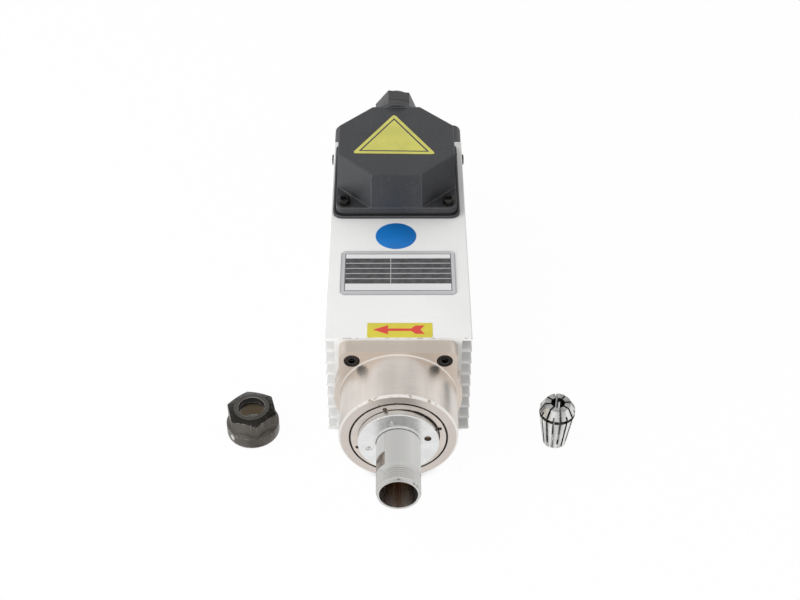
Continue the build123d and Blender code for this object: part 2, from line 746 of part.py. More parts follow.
with BuildPart() as fan_circlip:
    with BuildSketch(facing_rear(fan_circlip_front)):
        Circle(fan_seat / 2 + circlip_height)
        Circle(fan_seat / 2 + seat_gap, mode=Mode.SUBTRACT)
        with Locations((0, -fan_seat / 2)):
            Rectangle(3 * circlip_height, fan_seat / 2, mode=Mode.SUBTRACT)
    extrude(amount=circlip_thickness)
fan_circlip.part.label = "fan_circlip"
export_step(fan_circlip.part, "parts/fan_circlip.step")

with BuildPart() as fan_cowl:
    with BuildSketch(facing_rear(body_rear)):
        RectangleRounded(body_width, body_height, cowl_round)
    extrude(amount=cowl_length)
    fillet(fan_cowl.faces().sort_by(Axis.Y)[-1].edges(), radius=cowl_wall)
    with BuildSketch(facing_rear(body_rear)):
        RectangleRounded(cowl_inside_width, body_height - 2 * cowl_wall, cowl_round - cowl_wall)
    extrude(amount=cowl_length - cowl_wall, mode=Mode.SUBTRACT)
    with BuildSketch(facing_rear(cowl_rear)):
        for ring in reversed(range(grille_rings)):
            slot_inside = grille_hub / 2 + ring * grille_pitch
            Circle(slot_inside + grille_slot)
            Circle(slot_inside, mode=Mode.SUBTRACT)
        with PolarLocations(0, grille_arms // 2, angular_range=180):
            Rectangle(body_height, grille_arm_width, mode=Mode.SUBTRACT)
    extrude(amount=-cowl_wall, mode=Mode.SUBTRACT)
    for side in (-1, 1):
        with Locations(Plane(origin=(side * body_width / 2, body_rear + shield_thickness / 2,
                                     shaft_height), x_dir=(0, 1, 0), z_dir=(side, 0, 0))):
            with GridLocations(0, shield_lug_spacing, 1, 2):
                Hole(cowl_screw_thread / 2 + seat_gap, cowl_wall)
fan_cowl.part.label = "fan_cowl"
export_step(fan_cowl.part, "parts/fan_cowl.step")

with BuildPart() as fan_cowl_screws:
    for side in (-1, 1):
        with Locations(Plane(origin=(side * body_width / 2, body_rear + shield_thickness / 2,
                                     shaft_height), x_dir=(0, 1, 0), z_dir=(side, 0, 0))):
            with GridLocations(0, shield_lug_spacing, 1, 2):
                add(pan_screw(cowl_screw_thread, cowl_screw_length))
fan_cowl_screws.part.label = "fan_cowl_screws"
export_step(fan_cowl_screws.part, "parts/fan_cowl_screws.step")

# ---- Terminal box: base plate, gasket and cut-corner cover ----
with BuildPart() as terminal_box_base:
    with BuildSketch(on_box(body_height)):
        RectangleRounded(base_width, base_length, base_round)
        with Locations((0, -passage_ahead)):
            Circle(passage_diameter / 2, mode=Mode.SUBTRACT)
        with GridLocations(cover_screw_spacing, cover_screw_spacing, 2, 2):
            Circle(cover_screw_thread / 2 + seat_gap, mode=Mode.SUBTRACT)
        with Locations((0, -passage_ahead)):
            with GridLocations(base_screw_spacing, 0, 2, 1):
                Circle(base_screw_thread / 2 + seat_gap, mode=Mode.SUBTRACT)
    extrude(amount=base_thickness)
terminal_box_base.part.label = "terminal_box_base"
export_step(terminal_box_base.part, "parts/terminal_box_base.step")

with BuildPart() as terminal_box_gasket:
    with BuildSketch(on_box(gasket_bottom)):
        gasket_side = cover_width + gasket_margin
        RectangleRounded(gasket_side, gasket_side, base_round)
        add(cut_corner_outline(cover_width - 2 * gasket_frame, cover_corner - gasket_frame / 2),
            mode=Mode.SUBTRACT)
        with GridLocations(cover_screw_spacing, cover_screw_spacing, 2, 2):
            Circle(cover_screw_thread / 2 + seat_gap, mode=Mode.SUBTRACT)
    extrude(amount=gasket_thickness)
terminal_box_gasket.part.label = "terminal_box_gasket"
export_step(terminal_box_gasket.part, "parts/terminal_box_gasket.step")

with BuildPart() as terminal_box_cover:
    with BuildSketch(on_box(cover_bottom)):
        add(cut_corner_outline(cover_width, cover_corner))
    extrude(amount=cover_height, taper=cover_draft)
    fillet(terminal_box_cover.faces().sort_by(Axis.Z)[-1].edges(), radius=cover_top_round)
    with BuildSketch(on_box(cover_bottom)):
        RectangleRounded(cover_width, cover_width, cover_round)
    extrude(amount=cover_flange)
    with BuildSketch(facing_rear_at_gland(gland_seat)):
        Circle(gland_boss / 2)
    extrude(amount=-gland_boss_proud - cover_wall)
    with BuildSketch(on_box(cover_bottom)):
        add(cut_corner_outline(cover_width - 2 * cover_wall, cover_corner - cover_wall / 2))
    extrude(amount=cover_height - cover_wall, taper=cover_draft, mode=Mode.SUBTRACT)
    with Locations(on_box(cover_pad)):
        with GridLocations(cover_screw_spacing, cover_screw_spacing, 2, 2):
            Hole(cover_screw_thread / 2 + seat_gap, cover_flange)
    with Locations(facing_rear_at_gland(gland_seat)):
        Hole(gland_thread / 2 + seat_gap, 3 * cover_wall)
terminal_box_cover.part.label = "terminal_box_cover"
export_step(terminal_box_cover.part, "parts/terminal_box_cover.step")

cover_screw_length = cover_pad - body_height + cover_screw_grip
with BuildPart() as terminal_cover_screws:
    with Locations(on_box(cover_pad)):
        with GridLocations(cover_screw_spacing, cover_screw_spacing, 2, 2):
            add(socket_screw(cover_screw_thread, cover_screw_length, cover_screw_thread))
terminal_cover_screws.part.label = "terminal_cover_screws"
export_step(terminal_cover_screws.part, "parts/terminal_cover_screws.step")

# ---- Inside the box: terminal block, studs, links, motor leads and earth screws ----
with BuildPart() as terminal_block:
    with BuildSketch(on_box(gasket_bottom)):
        with Locations((0, block_behind)):
            Rectangle(block_width, block_length)
    extrude(amount=block_height)
    with BuildSketch(on_box(block_top)):
        with Locations((0, block_behind)):
            with GridLocations(stud_spacing_x, 0, 2, 1):
                Rectangle(link_thickness, block_length)
    extrude(amount=stud_height / 2)
    with Locations(on_box(block_top)):
        with Locations((0, block_behind)):
            with GridLocations(stud_spacing_x, stud_spacing_y, 3, 2):
                Hole(stud_thread / 2 + seat_gap, block_height / 2)
terminal_block.part.label = "terminal_block"
export_step(terminal_block.part, "parts/terminal_block.step")

with BuildPart() as terminal_links:
    with BuildSketch(on_box(block_top)):
        with Locations((0, block_behind)):
            with GridLocations(stud_spacing_x, 0, 3, 1):
                Rectangle(link_width, stud_spacing_y + link_width)
            with GridLocations(stud_spacing_x, stud_spacing_y, 3, 2):
                Circle(stud_thread / 2 + seat_gap, mode=Mode.SUBTRACT)
    extrude(amount=link_thickness)
terminal_links.part.label = "terminal_links"
export_step(terminal_links.part, "parts/terminal_links.step")

with BuildPart() as terminal_studs:
    with BuildSketch(on_box(block_top - block_height / 2)):
        with Locations((0, block_behind)):
            with GridLocations(stud_spacing_x, stud_spacing_y, 3, 2):
                Circle(stud_thread / 2)
    extrude(amount=block_height / 2 + stud_height)
    with BuildSketch(on_box(block_top + link_thickness)):
        with Locations((0, block_behind)):
            with GridLocations(stud_spacing_x, stud_spacing_y, 3, 2):
                RegularPolygon(0.875 * stud_thread, 6, major_radius=False)
    extrude(amount=0.8 * stud_thread)
terminal_studs.part.label = "terminal_studs"
export_step(terminal_studs.part, "parts/terminal_studs.step")

crown_top = shaft_height + crown_outside / 2
with BuildPart() as motor_leads:
    for place in (-1, 0, 1):
        lead_x = box_offset + place * lead_spread
        rise = gasket_bottom + lead_rise
        with BuildLine() as lead_path:
            FilletPolyline((lead_x, passage_centre, crown_top + seat_gap),
                           (lead_x, passage_centre, rise), (lead_x, block_front, rise),
                           radius=lead_bend)
        with BuildSketch(Plane(origin=lead_path.line @ 0, z_dir=lead_path.line % 0)):
            Circle(lead_diameter / 2)
        sweep(path=lead_path.line)
motor_leads.part.label = "motor_leads"
export_step(motor_leads.part, "parts/motor_leads.step")

with BuildPart() as base_screws:
    with Locations(on_box(gasket_bottom)):
        with Locations((0, -passage_ahead)):
            with GridLocations(base_screw_spacing, 0, 2, 1):
                add(pan_screw(base_screw_thread, base_thickness + cover_screw_grip - tap_runout))
base_screws.part.label = "base_screws"
export_step(base_screws.part, "parts/base_screws.step")

# ---- Cable gland: body, seal and clamping nut ----
with BuildPart() as cable_gland_body:
    with BuildSketch(facing_rear_at_gland(gland_seat)):
        RegularPolygon(gland_hex / 2, 6, major_radius=False, rotation=gland_turn)
    extrude(amount=gland_flange)
    with BuildSketch(facing_rear_at_gland(gland_seat)):
        Circle(gland_thread / 2)
    extrude(amount=-gland_boss_proud - cover_wall)
    with BuildSketch(facing_rear_at_gland(gland_neck_start)):
        Circle(gland_neck / 2)
    extrude(amount=gland_neck_length)
    with Locations(facing_rear_at_gland(gland_neck_end)):
        Hole(gland_inside / 2)
cable_gland_body.part.label = "cable_gland_body"
export_step(cable_gland_body.part, "parts/cable_gland_body.step")

with BuildPart() as cable_gland_seal:
    revolve(sleeve_section(gland_neck_start, gland_neck_end, seal_hole, gland_inside - 2 * seat_gap,
                           gland_plane), axis=gland_axis)
cable_gland_seal.part.label = "cable_gland_seal"
export_step(cable_gland_seal.part, "parts/cable_gland_seal.step")

nut_bore_end = gland_neck_end + seal_gap
with BuildPart() as cable_gland_nut:
    with BuildSketch(facing_rear_at_gland(gland_nut_front)):
        RegularPolygon(gland_hex / 2, 6, major_radius=False, rotation=gland_turn)
    extrude(amount=gland_nut_hex_length)
    with BuildSketch(gland_plane):
        with BuildLine():
            dome_start = gland_nut_rear - gland_dome_length
            dome_root = Line((dome_start, 0), (dome_start, gland_hex / 2))
            dome_back = Line((gland_nut_rear, gland_mouth / 2 + cover_wall / 2), (gland_nut_rear, 0))
            RadiusArc(dome_root @ 1, dome_back @ 0, gland_hex / 2)
            Line(dome_back @ 1, dome_root @ 0)
        make_face()
    revolve(axis=gland_axis)
    revolve(sleeve_section(gland_nut_front, nut_bore_end, 0, gland_neck + 2 * thread_gap, gland_plane),
            axis=gland_axis, mode=Mode.SUBTRACT)
    revolve(sleeve_section(gland_nut_front, gland_nut_rear, 0, gland_mouth, gland_plane),
            axis=gland_axis, mode=Mode.SUBTRACT)
cable_gland_nut.part.label = "cable_gland_nut"
export_step(cable_gland_nut.part, "parts/cable_gland_nut.step")

# ---- Clamping nut and its eccentric extraction ring ----
nut_place = Plane(origin=(-body_width / 2 - nut_aside, body_front - nut_ahead, 0))
nut_profile = Plane(origin=nut_place.origin, x_dir=(1, 0, 0), z_dir=(0, -1, 0))
nut_axis = Axis(nut_place.origin, (0, 0, 1))
nut_thread_radius = nose_radius + thread_gap
ring_bottom = nut_thread_depth + nut_relief
ring_outside = 2 * (nut_thread_radius - ring_seat_lip)
seat_bottom = ring_bottom + ring_thickness
seat_top_radius = nut_hole / 2
seat_top = seat_bottom + (ring_hole / 2 - seat_top_radius) / tan(radians(nut_seat_half_angle))
corner_radius = nut_hex / 2 / cos(pi / 6)
chamfer_drop = (corner_radius - nut_hex / 2 + nut_chamfer) * tan(radians(30))
with BuildPart() as nut_head:
    with BuildSketch(nut_place.offset(nut_skirt - nut_shoulder)):
        RegularPolygon(nut_hex / 2, 6, major_radius=False, rotation=nut_turn)
    extrude(amount=nut_height - nut_skirt + nut_shoulder)
    revolve(turned_section([
        (0, 0), (corner_radius, 0), (corner_radius, nut_height - chamfer_drop),
        (nut_hex / 2 - nut_chamfer, nut_height), (0, nut_height)], nut_profile),
        axis=nut_axis, mode=Mode.INTERSECT)
with BuildPart() as collet_nut:
    revolve(turned_section([
        (0, 0), (nut_diameter / 2 - nut_chamfer, 0), (nut_diameter / 2, nut_chamfer),
        (nut_diameter / 2, nut_skirt), (nut_hex / 2, nut_skirt + nut_shoulder),
        (nut_hex / 2, nut_skirt + 2 * nut_shoulder), (0, nut_skirt + 2 * nut_shoulder)],
        nut_profile), axis=nut_axis)
    add(nut_head.part)
    revolve(turned_section([
        (0, -1), (nut_thread_radius, -1), (nut_thread_radius, nut_thread_depth),
        (nut_thread_radius + nut_relief_depth, nut_thread_depth),
        (nut_thread_radius + nut_relief_depth, ring_bottom),
        (ring_outside / 2 + seat_gap, ring_bottom), (ring_outside / 2 + seat_gap, seat_bottom),
        (ring_hole / 2, seat_bottom), (seat_top_radius, seat_top),
        (seat_top_radius, nut_height + 1), (0, nut_height + 1)], nut_profile),
        axis=nut_axis, mode=Mode.SUBTRACT)
    dot_direction = Vector(cos(radians(nut_dot_turn)), sin(radians(nut_dot_turn)), 0)
    with Locations(Plane(origin=nut_place.origin + dot_direction * (nut_diameter / 2)
                         + Vector(0, 0, nut_dot_height), z_dir=dot_direction)):
        Hole(nut_dot / 2, nut_dot_depth)
collet_nut.part.label = "collet_nut"
export_step(collet_nut.part, "parts/collet_nut.step")

with BuildPart() as extraction_ring:
    with BuildSketch(nut_place.offset(ring_bottom)):
        Circle(ring_outside / 2)
        with Locations((ring_eccentric, 0)):
            Circle(ring_hole / 2 - ring_eccentric, mode=Mode.SUBTRACT)
    extrude(amount=ring_thickness)
extraction_ring.part.label = "extraction_ring"
export_step(extraction_ring.part, "parts/extraction_ring.step")

# ---- Collet: taper body, head cone and groove, slit from both ends in turn ----
collet_place = Plane(origin=(body_width / 2 + collet_aside, body_front - collet_ahead, 0))
collet_profile = Plane(origin=collet_place.origin, x_dir=(1, 0, 0), z_dir=(0, -1, 0))
collet_axis = Axis(collet_place.origin, (0, 0, 1))
head_cone = (collet_diameter - collet_face) / 2 / tan(radians(collet_face_half_angle))
groove_top = collet_length - head_cone - collet_rim
groove_bottom = groove_top - collet_groove
taper_loss = groove_bottom * tan(radians(socket_half_angle))
with BuildPart() as collet:
    revolve(turned_section([
        (collet_bore / 2, 0), (collet_diameter / 2 - taper_loss, 0),
        (collet_diameter / 2, groove_bottom), (collet_groove_diameter / 2, groove_bottom),
        (collet_groove_diameter / 2, groove_top), (collet_diameter / 2, groove_top),
        (collet_diameter / 2, groove_top + collet_rim), (collet_face / 2, collet_length),
        (collet_bore / 2, collet_length)], collet_profile), axis=collet_axis)
    with BuildSketch(collet_place.offset(collet_length)):
        with PolarLocations(collet_diameter / 2, collet_slits, start_angle=collet_turn):
            Rectangle(collet_diameter, collet_slit)
    extrude(amount=collet_front_web - collet_length, mode=Mode.SUBTRACT)
    with BuildSketch(collet_place):
        with PolarLocations(collet_diameter / 2, collet_slits,
                            start_angle=collet_turn + 180 / collet_slits):
            Rectangle(collet_diameter, collet_slit)
    extrude(amount=collet_length - collet_rear_web, mode=Mode.SUBTRACT)
collet.part.label = "collet"
export_step(collet.part, "parts/collet.step")
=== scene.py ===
import logging
import math
from dataclasses import dataclass
from enum import Enum
from typing import Callable, ClassVar

import bpy
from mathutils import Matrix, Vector


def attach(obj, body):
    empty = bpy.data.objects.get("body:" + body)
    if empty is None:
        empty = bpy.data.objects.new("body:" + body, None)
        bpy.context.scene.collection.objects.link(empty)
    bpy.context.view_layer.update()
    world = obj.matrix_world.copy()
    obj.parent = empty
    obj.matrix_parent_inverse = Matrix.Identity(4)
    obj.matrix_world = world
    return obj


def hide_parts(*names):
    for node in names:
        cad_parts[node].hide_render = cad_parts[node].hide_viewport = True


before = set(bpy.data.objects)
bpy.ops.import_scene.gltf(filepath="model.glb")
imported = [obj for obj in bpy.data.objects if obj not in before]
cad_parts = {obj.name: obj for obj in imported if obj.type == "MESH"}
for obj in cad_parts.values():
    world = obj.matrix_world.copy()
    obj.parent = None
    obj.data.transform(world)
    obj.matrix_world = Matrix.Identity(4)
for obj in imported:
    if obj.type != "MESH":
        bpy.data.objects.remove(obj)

LOG = logging.getLogger("spindle")
MM = 0.001
NOISE_LOW, NOISE_HIGH = 0.3, 0.7  # where most of a noise lies
LEAN_START = 0.02  # lean of a softened normal at which the edge mask begins
UP = (0.0, 0.0, 1.0)
WHITE = (1, 1, 1, 1)
STEEP = 0.9  # rise of a normal above which a face counts as level
TOP_TURN = 0.25  # turn about the shaft that points up
SHAFT_HEIGHT = 37.6 * MM
WELD = 0.002 * MM  # points of a copied skin closer than this are one
BODY_FRONT = -96 * MM
BODY_TOP = 75.2 * MM
FLANGE_FACE = -106 * MM
BOSS_FACE = -138.6 * MM
CAP_FACE = -142.7 * MM
LID_TOP = 108.4 * MM

Colour = tuple[float, float, float]
Point = tuple[float, float, float]
Corner = tuple[float, float]
Span = tuple[float, float]


class Body(Enum):
    """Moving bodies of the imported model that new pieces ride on."""

    HOUSING = "housing"
    ROTOR = "rotor"
    LOOSE_NUT = "loose_nut"
    LOOSE_COLLET = "loose_collet"


class Slot(Enum):
    """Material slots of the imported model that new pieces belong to."""

    BODY = "body_aluminium"
    SHAFT = "shaft_steel"
    BOX = "box_plastic"
    BLACK = "black_steel"
    COLLET = "collet_steel"


# ---- Shader tools ----
def operator(operation: str, swapped: bool = False) -> Callable:
    """Arithmetic method that adds a Math node.

    Args:
        operation: what the node does.
        swapped: the other value comes first.

    Returns:
        The method.
    """
    def method(self: "Socket", *others: "Value") -> "Socket":
        """Socket of the result."""
        values = (*others, self) if swapped else (self, *others)
        return self.graph.maths(operation, *values)
    return method


@dataclass(eq=False)
class Socket:
    """A shader value that Python arithmetic can be written on."""

    graph: "Graph"
    link: bpy.types.NodeSocket

    __add__ = __radd__ = operator("ADD")
    __sub__ = operator("SUBTRACT")
    __rsub__ = operator("SUBTRACT", swapped=True)
    __mul__ = __rmul__ = operator("MULTIPLY")
    __truediv__ = operator("DIVIDE")
    __gt__ = operator("GREATER_THAN")
    __lt__ = operator("LESS_THAN")
    __abs__ = operator("ABSOLUTE")


Value = Socket | float
Inputs = dict[str, Socket]


@dataclass(frozen=True)
class Spot:
    """A place on a part that is round about the shaft: radius, turn and station along the shaft."""

    vector: Socket
    radius: Socket
    turn: Socket
    station: Socket


class Graph:
    """Node tree of one material or of the world."""

    def __init__(self, tree: bpy.types.NodeTree) -> None:
        """Empties the tree and keeps it."""
        tree.nodes.clear()
        self.tree = tree

    def node(self, kind: str, settings: dict | None = None, inputs: dict | None = None) -> bpy.types.Node:
        """Adds one node of any type.

        Args:
            kind: the node's type name.
            settings: its properties, set first.
            inputs: values or links by socket name or number.

        Returns:
            The new node.
        """
        made = self.tree.nodes.new(kind)
        for key, value in (settings or {}).items():
            setattr(made, key, value)
        for key, value in (inputs or {}).items():
            if isinstance(value, Socket):
                self.tree.links.new(value.link, made.inputs[key])
            else:
                made.inputs[key].default_value = value
        return made

    def out(self, kind: str, settings: dict | None = None, inputs: dict | None = None,
            output: str | int = 0) -> Socket:
        """Adds a node, as node does, and returns one of its outputs by name or number."""
        return Socket(self, self.node(kind, settings, inputs).outputs[output])

    def maths(self, operation: str, *values: Value) -> Socket:
        """One Math node on sockets and numbers."""
        return self.out("ShaderNodeMath", {"operation": operation}, dict(enumerate(values)))

    def place(self) -> tuple[Socket, Socket, Socket, Socket]:
        """Object coordinates in metres: the vector and its X, Y and Z."""
        vector = self.out("ShaderNodeTexCoord", output="Object")
        return vector, *self.parts(vector)

    def parts(self, vector: Socket) -> tuple[Socket, Socket, Socket]:
        """X, Y and Z of a vector."""
        split = self.node("ShaderNodeSeparateXYZ", inputs={0: vector})
        return tuple(Socket(self, split.outputs[axis]) for axis in "XYZ")

    def vector(self, x: Value, y: Value, z: Value) -> Socket:
        """Vector from three values."""
        return self.out("ShaderNodeCombineXYZ", inputs={0: x, 1: y, 2: z})

    def dot(self, first: "Socket | Point", second: "Socket | Point") -> Socket:
        """Dot product of two vectors."""
        return self.out("ShaderNodeVectorMath", {"operation": "DOT_PRODUCT"}, {0: first, 1: second}, "Value")

    def facing(self) -> Socket:
        """True surface normal, before any relief."""
        return self.out("ShaderNodeNewGeometry", output="True Normal")

    def noise(self, vector: Socket, scale: float, detail: float = 2.0) -> Socket:
        """Cloudy noise about 0.5, with a scale in clouds per metre and a detail in octaves."""
        return self.out("ShaderNodeTexNoise", inputs={"Vector": vector, "Scale": scale, "Detail": detail})

    def ranged(self, value: Value, low: float, high: float, start: float = 0.0, end: float = 1.0) -> Socket:
        """Moves a value from the range low..high to start..end, held at the ends."""
        return self.out("ShaderNodeMapRange", {"interpolation_type": "SMOOTHSTEP"},
                        {"Value": value, "From Min": low, "From Max": high, "To Min": start, "To Max": end})

    def spread(self, noise: Value) -> Socket:
        """Stretches the middle of a noise to the range 0 to 1."""
        return self.ranged(noise, NOISE_LOW, NOISE_HIGH)

    def larger(self, first: Value, second: Value) -> Socket:
        """The larger of two values."""
        return self.maths("MAXIMUM", first, second)

    def within(self, value: Socket, low: float, high: float) -> Socket:
        """1 between two limits, else 0."""
        return (value > low) * (value < high)

    def mix(self, factor: Value, first: "Socket | Colour", second: "Socket | Colour") -> Socket:
        """Colour between two colours: factor 0 gives the first, 1 the second."""
        both = [c if isinstance(c, Socket) else (*c, 1) for c in (first, second)]
        return self.out("ShaderNodeMix", {"data_type": "RGBA"}, {0: factor, 6: both[0], 7: both[1]}, 2)

    def layered(self, colour: Socket, *layers: tuple[Value, "Socket | Colour"]) -> Socket:
        """Colour under layers of a mask and a colour, the lowest first."""
        for mask, over in layers:
            colour = self.mix(mask, colour, over)
        return colour

    def drawn(self, x: Value, y: Value, z: Value, detail: float = 3.0) -> Socket:
        """Noise on coordinates that are drawn out or pressed together."""
        return self.noise(self.vector(x, y, z), 1.0, detail)

    def soft_edges(self, radius: float) -> Socket:
        """Normal that runs round sharp edges within a radius, as a broken edge does."""
        return self.out("ShaderNodeBevel", {"samples": 4}, {"Radius": radius})

    def open_sky(self, reach: float) -> Socket:
        """How open a place is: 1 in the open, less beside walls within a reach."""
        return self.out("ShaderNodeAmbientOcclusion", {"samples": 8}, {"Distance": reach}, "AO")

    def edge_mask(self, soft: Socket, strength: float) -> Socket:
        """Mask from 0 on flat faces up to 1 where the soft_edges normal leans; strength sets how fast."""
        flat = self.out("ShaderNodeNewGeometry", output="Normal")
        return self.ranged(1 - self.dot(soft, flat), LEAN_START, 1 / strength)

    def bump(self, height: Socket, depth: float, normal: Socket | None = None) -> Socket:
        """Normal of a relief from 0 to 1, its depth in metres, laid on another normal."""
        under = {"Normal": normal} if normal else {}
        return self.out("ShaderNodeBump", inputs={"Height": height, "Distance": depth, **under})

    def around(self, across: Value, rise: Value) -> tuple[Socket, Socket]:
        """Distance from an axis in metres and turn about it, from -0.5 to 0.5."""
        return self.length(across, rise), self.maths("ARCTAN2", rise, across) / math.tau

    def length(self, *parts: Value) -> Socket:
        """Length of a vector from its parts."""
        return self.maths("SQRT", sum((part * part for part in parts[1:]), start=parts[0] * parts[0]))

    def spot(self) -> Spot:
        """The place in the shaft's cylinder coordinates."""
        vector, x, y, z = self.place()
        return Spot(vector, *self.around(x, z - SHAFT_HEIGHT), y)

    def ray(self, kind: str) -> Socket:
        """1 for rays of a kind, such as Camera or Glossy, else 0."""
        return self.out("ShaderNodeLightPath", output=f"Is {kind} Ray")


# ---- Finishes ----
@dataclass(frozen=True)
class Finish:
    """Base of every finish: a colour and how it shines."""

    name: str
    colour: Colour
    roughness: float = 0.5
    metallic: float = 0.0
    specular: float = 0.5
    edge: float = 0.25 * MM

    def surface(self, graph: Graph) -> Inputs:
        """Shader inputs that change over the surface.

        Args:
            graph: the material's tree.

        Returns:
            Sockets by the input's name.
        """
        raise NotImplementedError

    def marked(self, graph: Graph, colour: Socket) -> Socket:
        """Colour with the part's own marks and, in some finishes, painted light or shade; none here."""
        return colour

    def shade(self, light: float) -> Colour:
        """The finish's colour, made lighter or darker."""
        return tuple(min(1.0, part * light) for part in self.colour)

    def tones(self, graph: Graph, noise: Value, dark: float, light: float) -> Socket:
        """The finish's colour from a darker to a lighter tone, as a noise has it."""
        return graph.mix(graph.spread(noise), self.shade(dark), self.shade(light))

    def sheen(self, graph: Graph, noise: Value, smoother: float = 0.05, rougher: float = 0.05) -> Socket:
        """Roughness a little under and over the finish's own, as a noise has it."""
        return graph.ranged(noise, NOISE_LOW, NOISE_HIGH, self.roughness - smoother, self.roughness + rougher)

    def coat(self, mesh: bpy.types.Mesh) -> None:
        """Makes the finish a mesh's only material."""
        mesh.materials.clear()
        mesh.materials.append(self.material())

    def material(self) -> bpy.types.Material:
        """Builds the material, or finds it if it is there.

        Returns:
            The material.
        """
        title = f"{self.name}_finish"
        if title in bpy.data.materials:
            return bpy.data.materials[title]
        made = bpy.data.materials.new(title)
        made.use_nodes = True
        graph = Graph(made.node_tree)
        fixed = {"Base Color": (*self.colour, 1), "Roughness": self.roughness, "Metallic": self.metallic,
                 "Specular IOR Level": self.specular}
        shader = graph.out("ShaderNodeBsdfPrincipled", inputs={**fixed, **self.surface(graph)})
        graph.node("ShaderNodeOutputMaterial", inputs={"Surface": shader})
        return made


@dataclass(frozen=True)
class Blasted(Finish):
    """Bead-blasted metal: fine even grain, edges lighter as painted highlight and wear, painted shade in
    hollows, a stain along the top front edge.
    """

    grain: float = 2600.0
    grain_depth: float = 0.02 * MM
    seam: float = 0.0
    seam_colour: Colour = (0.30, 0.25, 0.20)
    shelter: float = 26 * MM
    shade_depth: float = 0.0

    def surface(self, graph: Graph) -> Inputs:
        """Inputs that change over the surface."""
        vector, _, y, z = graph.place()
        soft = graph.soft_edges(self.edge)
        grain = graph.noise(vector, self.grain, 3)
        cloud = graph.noise(vector, 22, 3)
        colour = self.tones(graph, grain * 0.6 + cloud * 0.4, 0.95, 1.04)
        edge = (y < BODY_FRONT + 0.3 * MM) * (z > BODY_TOP - 0.7 * MM)
        dark_mark = edge * graph.ranged(graph.noise(vector, 300, 3), 0.50, 0.66) * self.seam
        # Painted shade: darker where the open_sky reach finds walls, as in rib gaps and beside the lid;
        # painted highlight with wear: edges lighter.
        hollow_shade = graph.ranged(graph.open_sky(self.shelter), 0.30, 0.96, 1.0, 0.0) * self.shade_depth
        colour = graph.layered(colour, (graph.edge_mask(soft, 6) * 0.5, self.shade(1.12)),
                               (hollow_shade, self.shade(0.12)), (dark_mark, self.seam_colour))
        return {"Base Color": colour,
                "Roughness": self.sheen(graph, cloud),
                "Normal": graph.bump(grain, self.grain_depth, soft)}


@dataclass(frozen=True)
class Turned(Finish):
    """Lathe-turned metal: fine rings round the shaft axis, soft streaks along it."""

    feed: float = 0.22 * MM
    feed_depth: float = 0.006 * MM
    streak: float = 0.06
    speck: Colour = (0.20, 0.14, 0.09)

    def surface(self, graph: Graph) -> Inputs:
        """Inputs that change over the surface."""
        at = graph.spot()
        soft = graph.soft_edges(self.edge)
        lines = graph.noise(graph.vector(at.radius, at.turn * (3 * MM), at.station), 1 / self.feed, 2)
        cloud = graph.noise(at.vector, 60, 4)
        bands = graph.drawn(at.turn * 22, at.radius * 9, at.station * 6)
        light = graph.ranged(lines * 0.25 + cloud * 0.25 + bands * 0.5, 0.36, 0.64)
        colour = graph.mix(light, self.shade(1 - self.streak), self.shade(1 + self.streak))
        return {"Base Color": self.stains_and_painted_light(graph, colour, at),
                "Roughness": self.sheen(graph, lines * 0.5 + cloud * 0.5, 0.06, 0.07),
                "Normal": graph.bump(lines, self.feed_depth, soft)}

    def stains_and_painted_light(self, graph: Graph, colour: Socket, at: Spot) -> Socket:
        """Colour with a few small dark specks."""
        specks = graph.ranged(graph.noise(at.vector, 520, 2), 0.74, 0.80)
        return graph.mix(specks * 0.5, colour, self.speck)


@dataclass(frozen=True)
class HousingTurned(Turned):
    """Champagne-plated bearing housing: browner flange, duller front face, a stain on the front edge, painted
    highlights on the boss root and front chamfer, painted shade in the gap round the ring.
    """

    flange: Colour = (0.70, 0.615, 0.535)
    front_face: Colour = (0.66, 0.60, 0.55)
    gilt: Colour = (0.30, 0.19, 0.085)
    painted_reflection: Colour = (0.95, 0.93, 0.90)
    gap: Colour = (0.02, 0.015, 0.012)
    root_outside: float = 35.2 * MM
    chamfer_inside: float = 32.9 * MM
    rim: Span = (27.7 * MM, 28.6 * MM)
    lip: Span = (26 * MM, 28.15 * MM)

    def stains_and_painted_light(self, graph: Graph, colour: Socket, at: Spot) -> Socket:
        """Colours flange and front face, paints highlights on the root and chamfer, stains the top of the
        front edge, and paints shade in the gap round the ring.
        """
        front = at.station < BOSS_FACE + 0.1 * MM
        root = graph.within(at.station, FLANGE_FACE - 1.1 * MM, FLANGE_FACE - 0.25 * MM)
        chamfer = graph.within(at.station, BOSS_FACE - 0.1 * MM, BOSS_FACE + 1.5 * MM)
        chamfer = chamfer * (at.radius > self.chamfer_inside)
        rim = graph.within(at.radius, *self.rim) * front
        top = graph.ranged(abs(at.turn - TOP_TURN), 0.20, 0.05)
        patch = graph.ranged(graph.drawn(at.turn * 70, at.radius * 500, at.station * 500), 0.56, 0.66)
        # Painted highlight: a bright line on the root and on the front chamfer. Painted shade: a near-black
        # lip round the ring, where the gap between ring and boss lies.
        colour = graph.layered(
            colour, ((at.station > FLANGE_FACE - 0.2 * MM) * 0.8, self.flange),
            (front * 0.9, self.front_face),
            (root * (at.radius < self.root_outside) * 0.7, self.painted_reflection), (chamfer * 0.6, self.painted_reflection),
            ((chamfer * 0.7 + rim) * top * patch, self.gilt),
            (graph.within(at.radius, *self.lip) * front * 0.95, self.gap))
        return super().stains_and_painted_light(graph, colour, at)


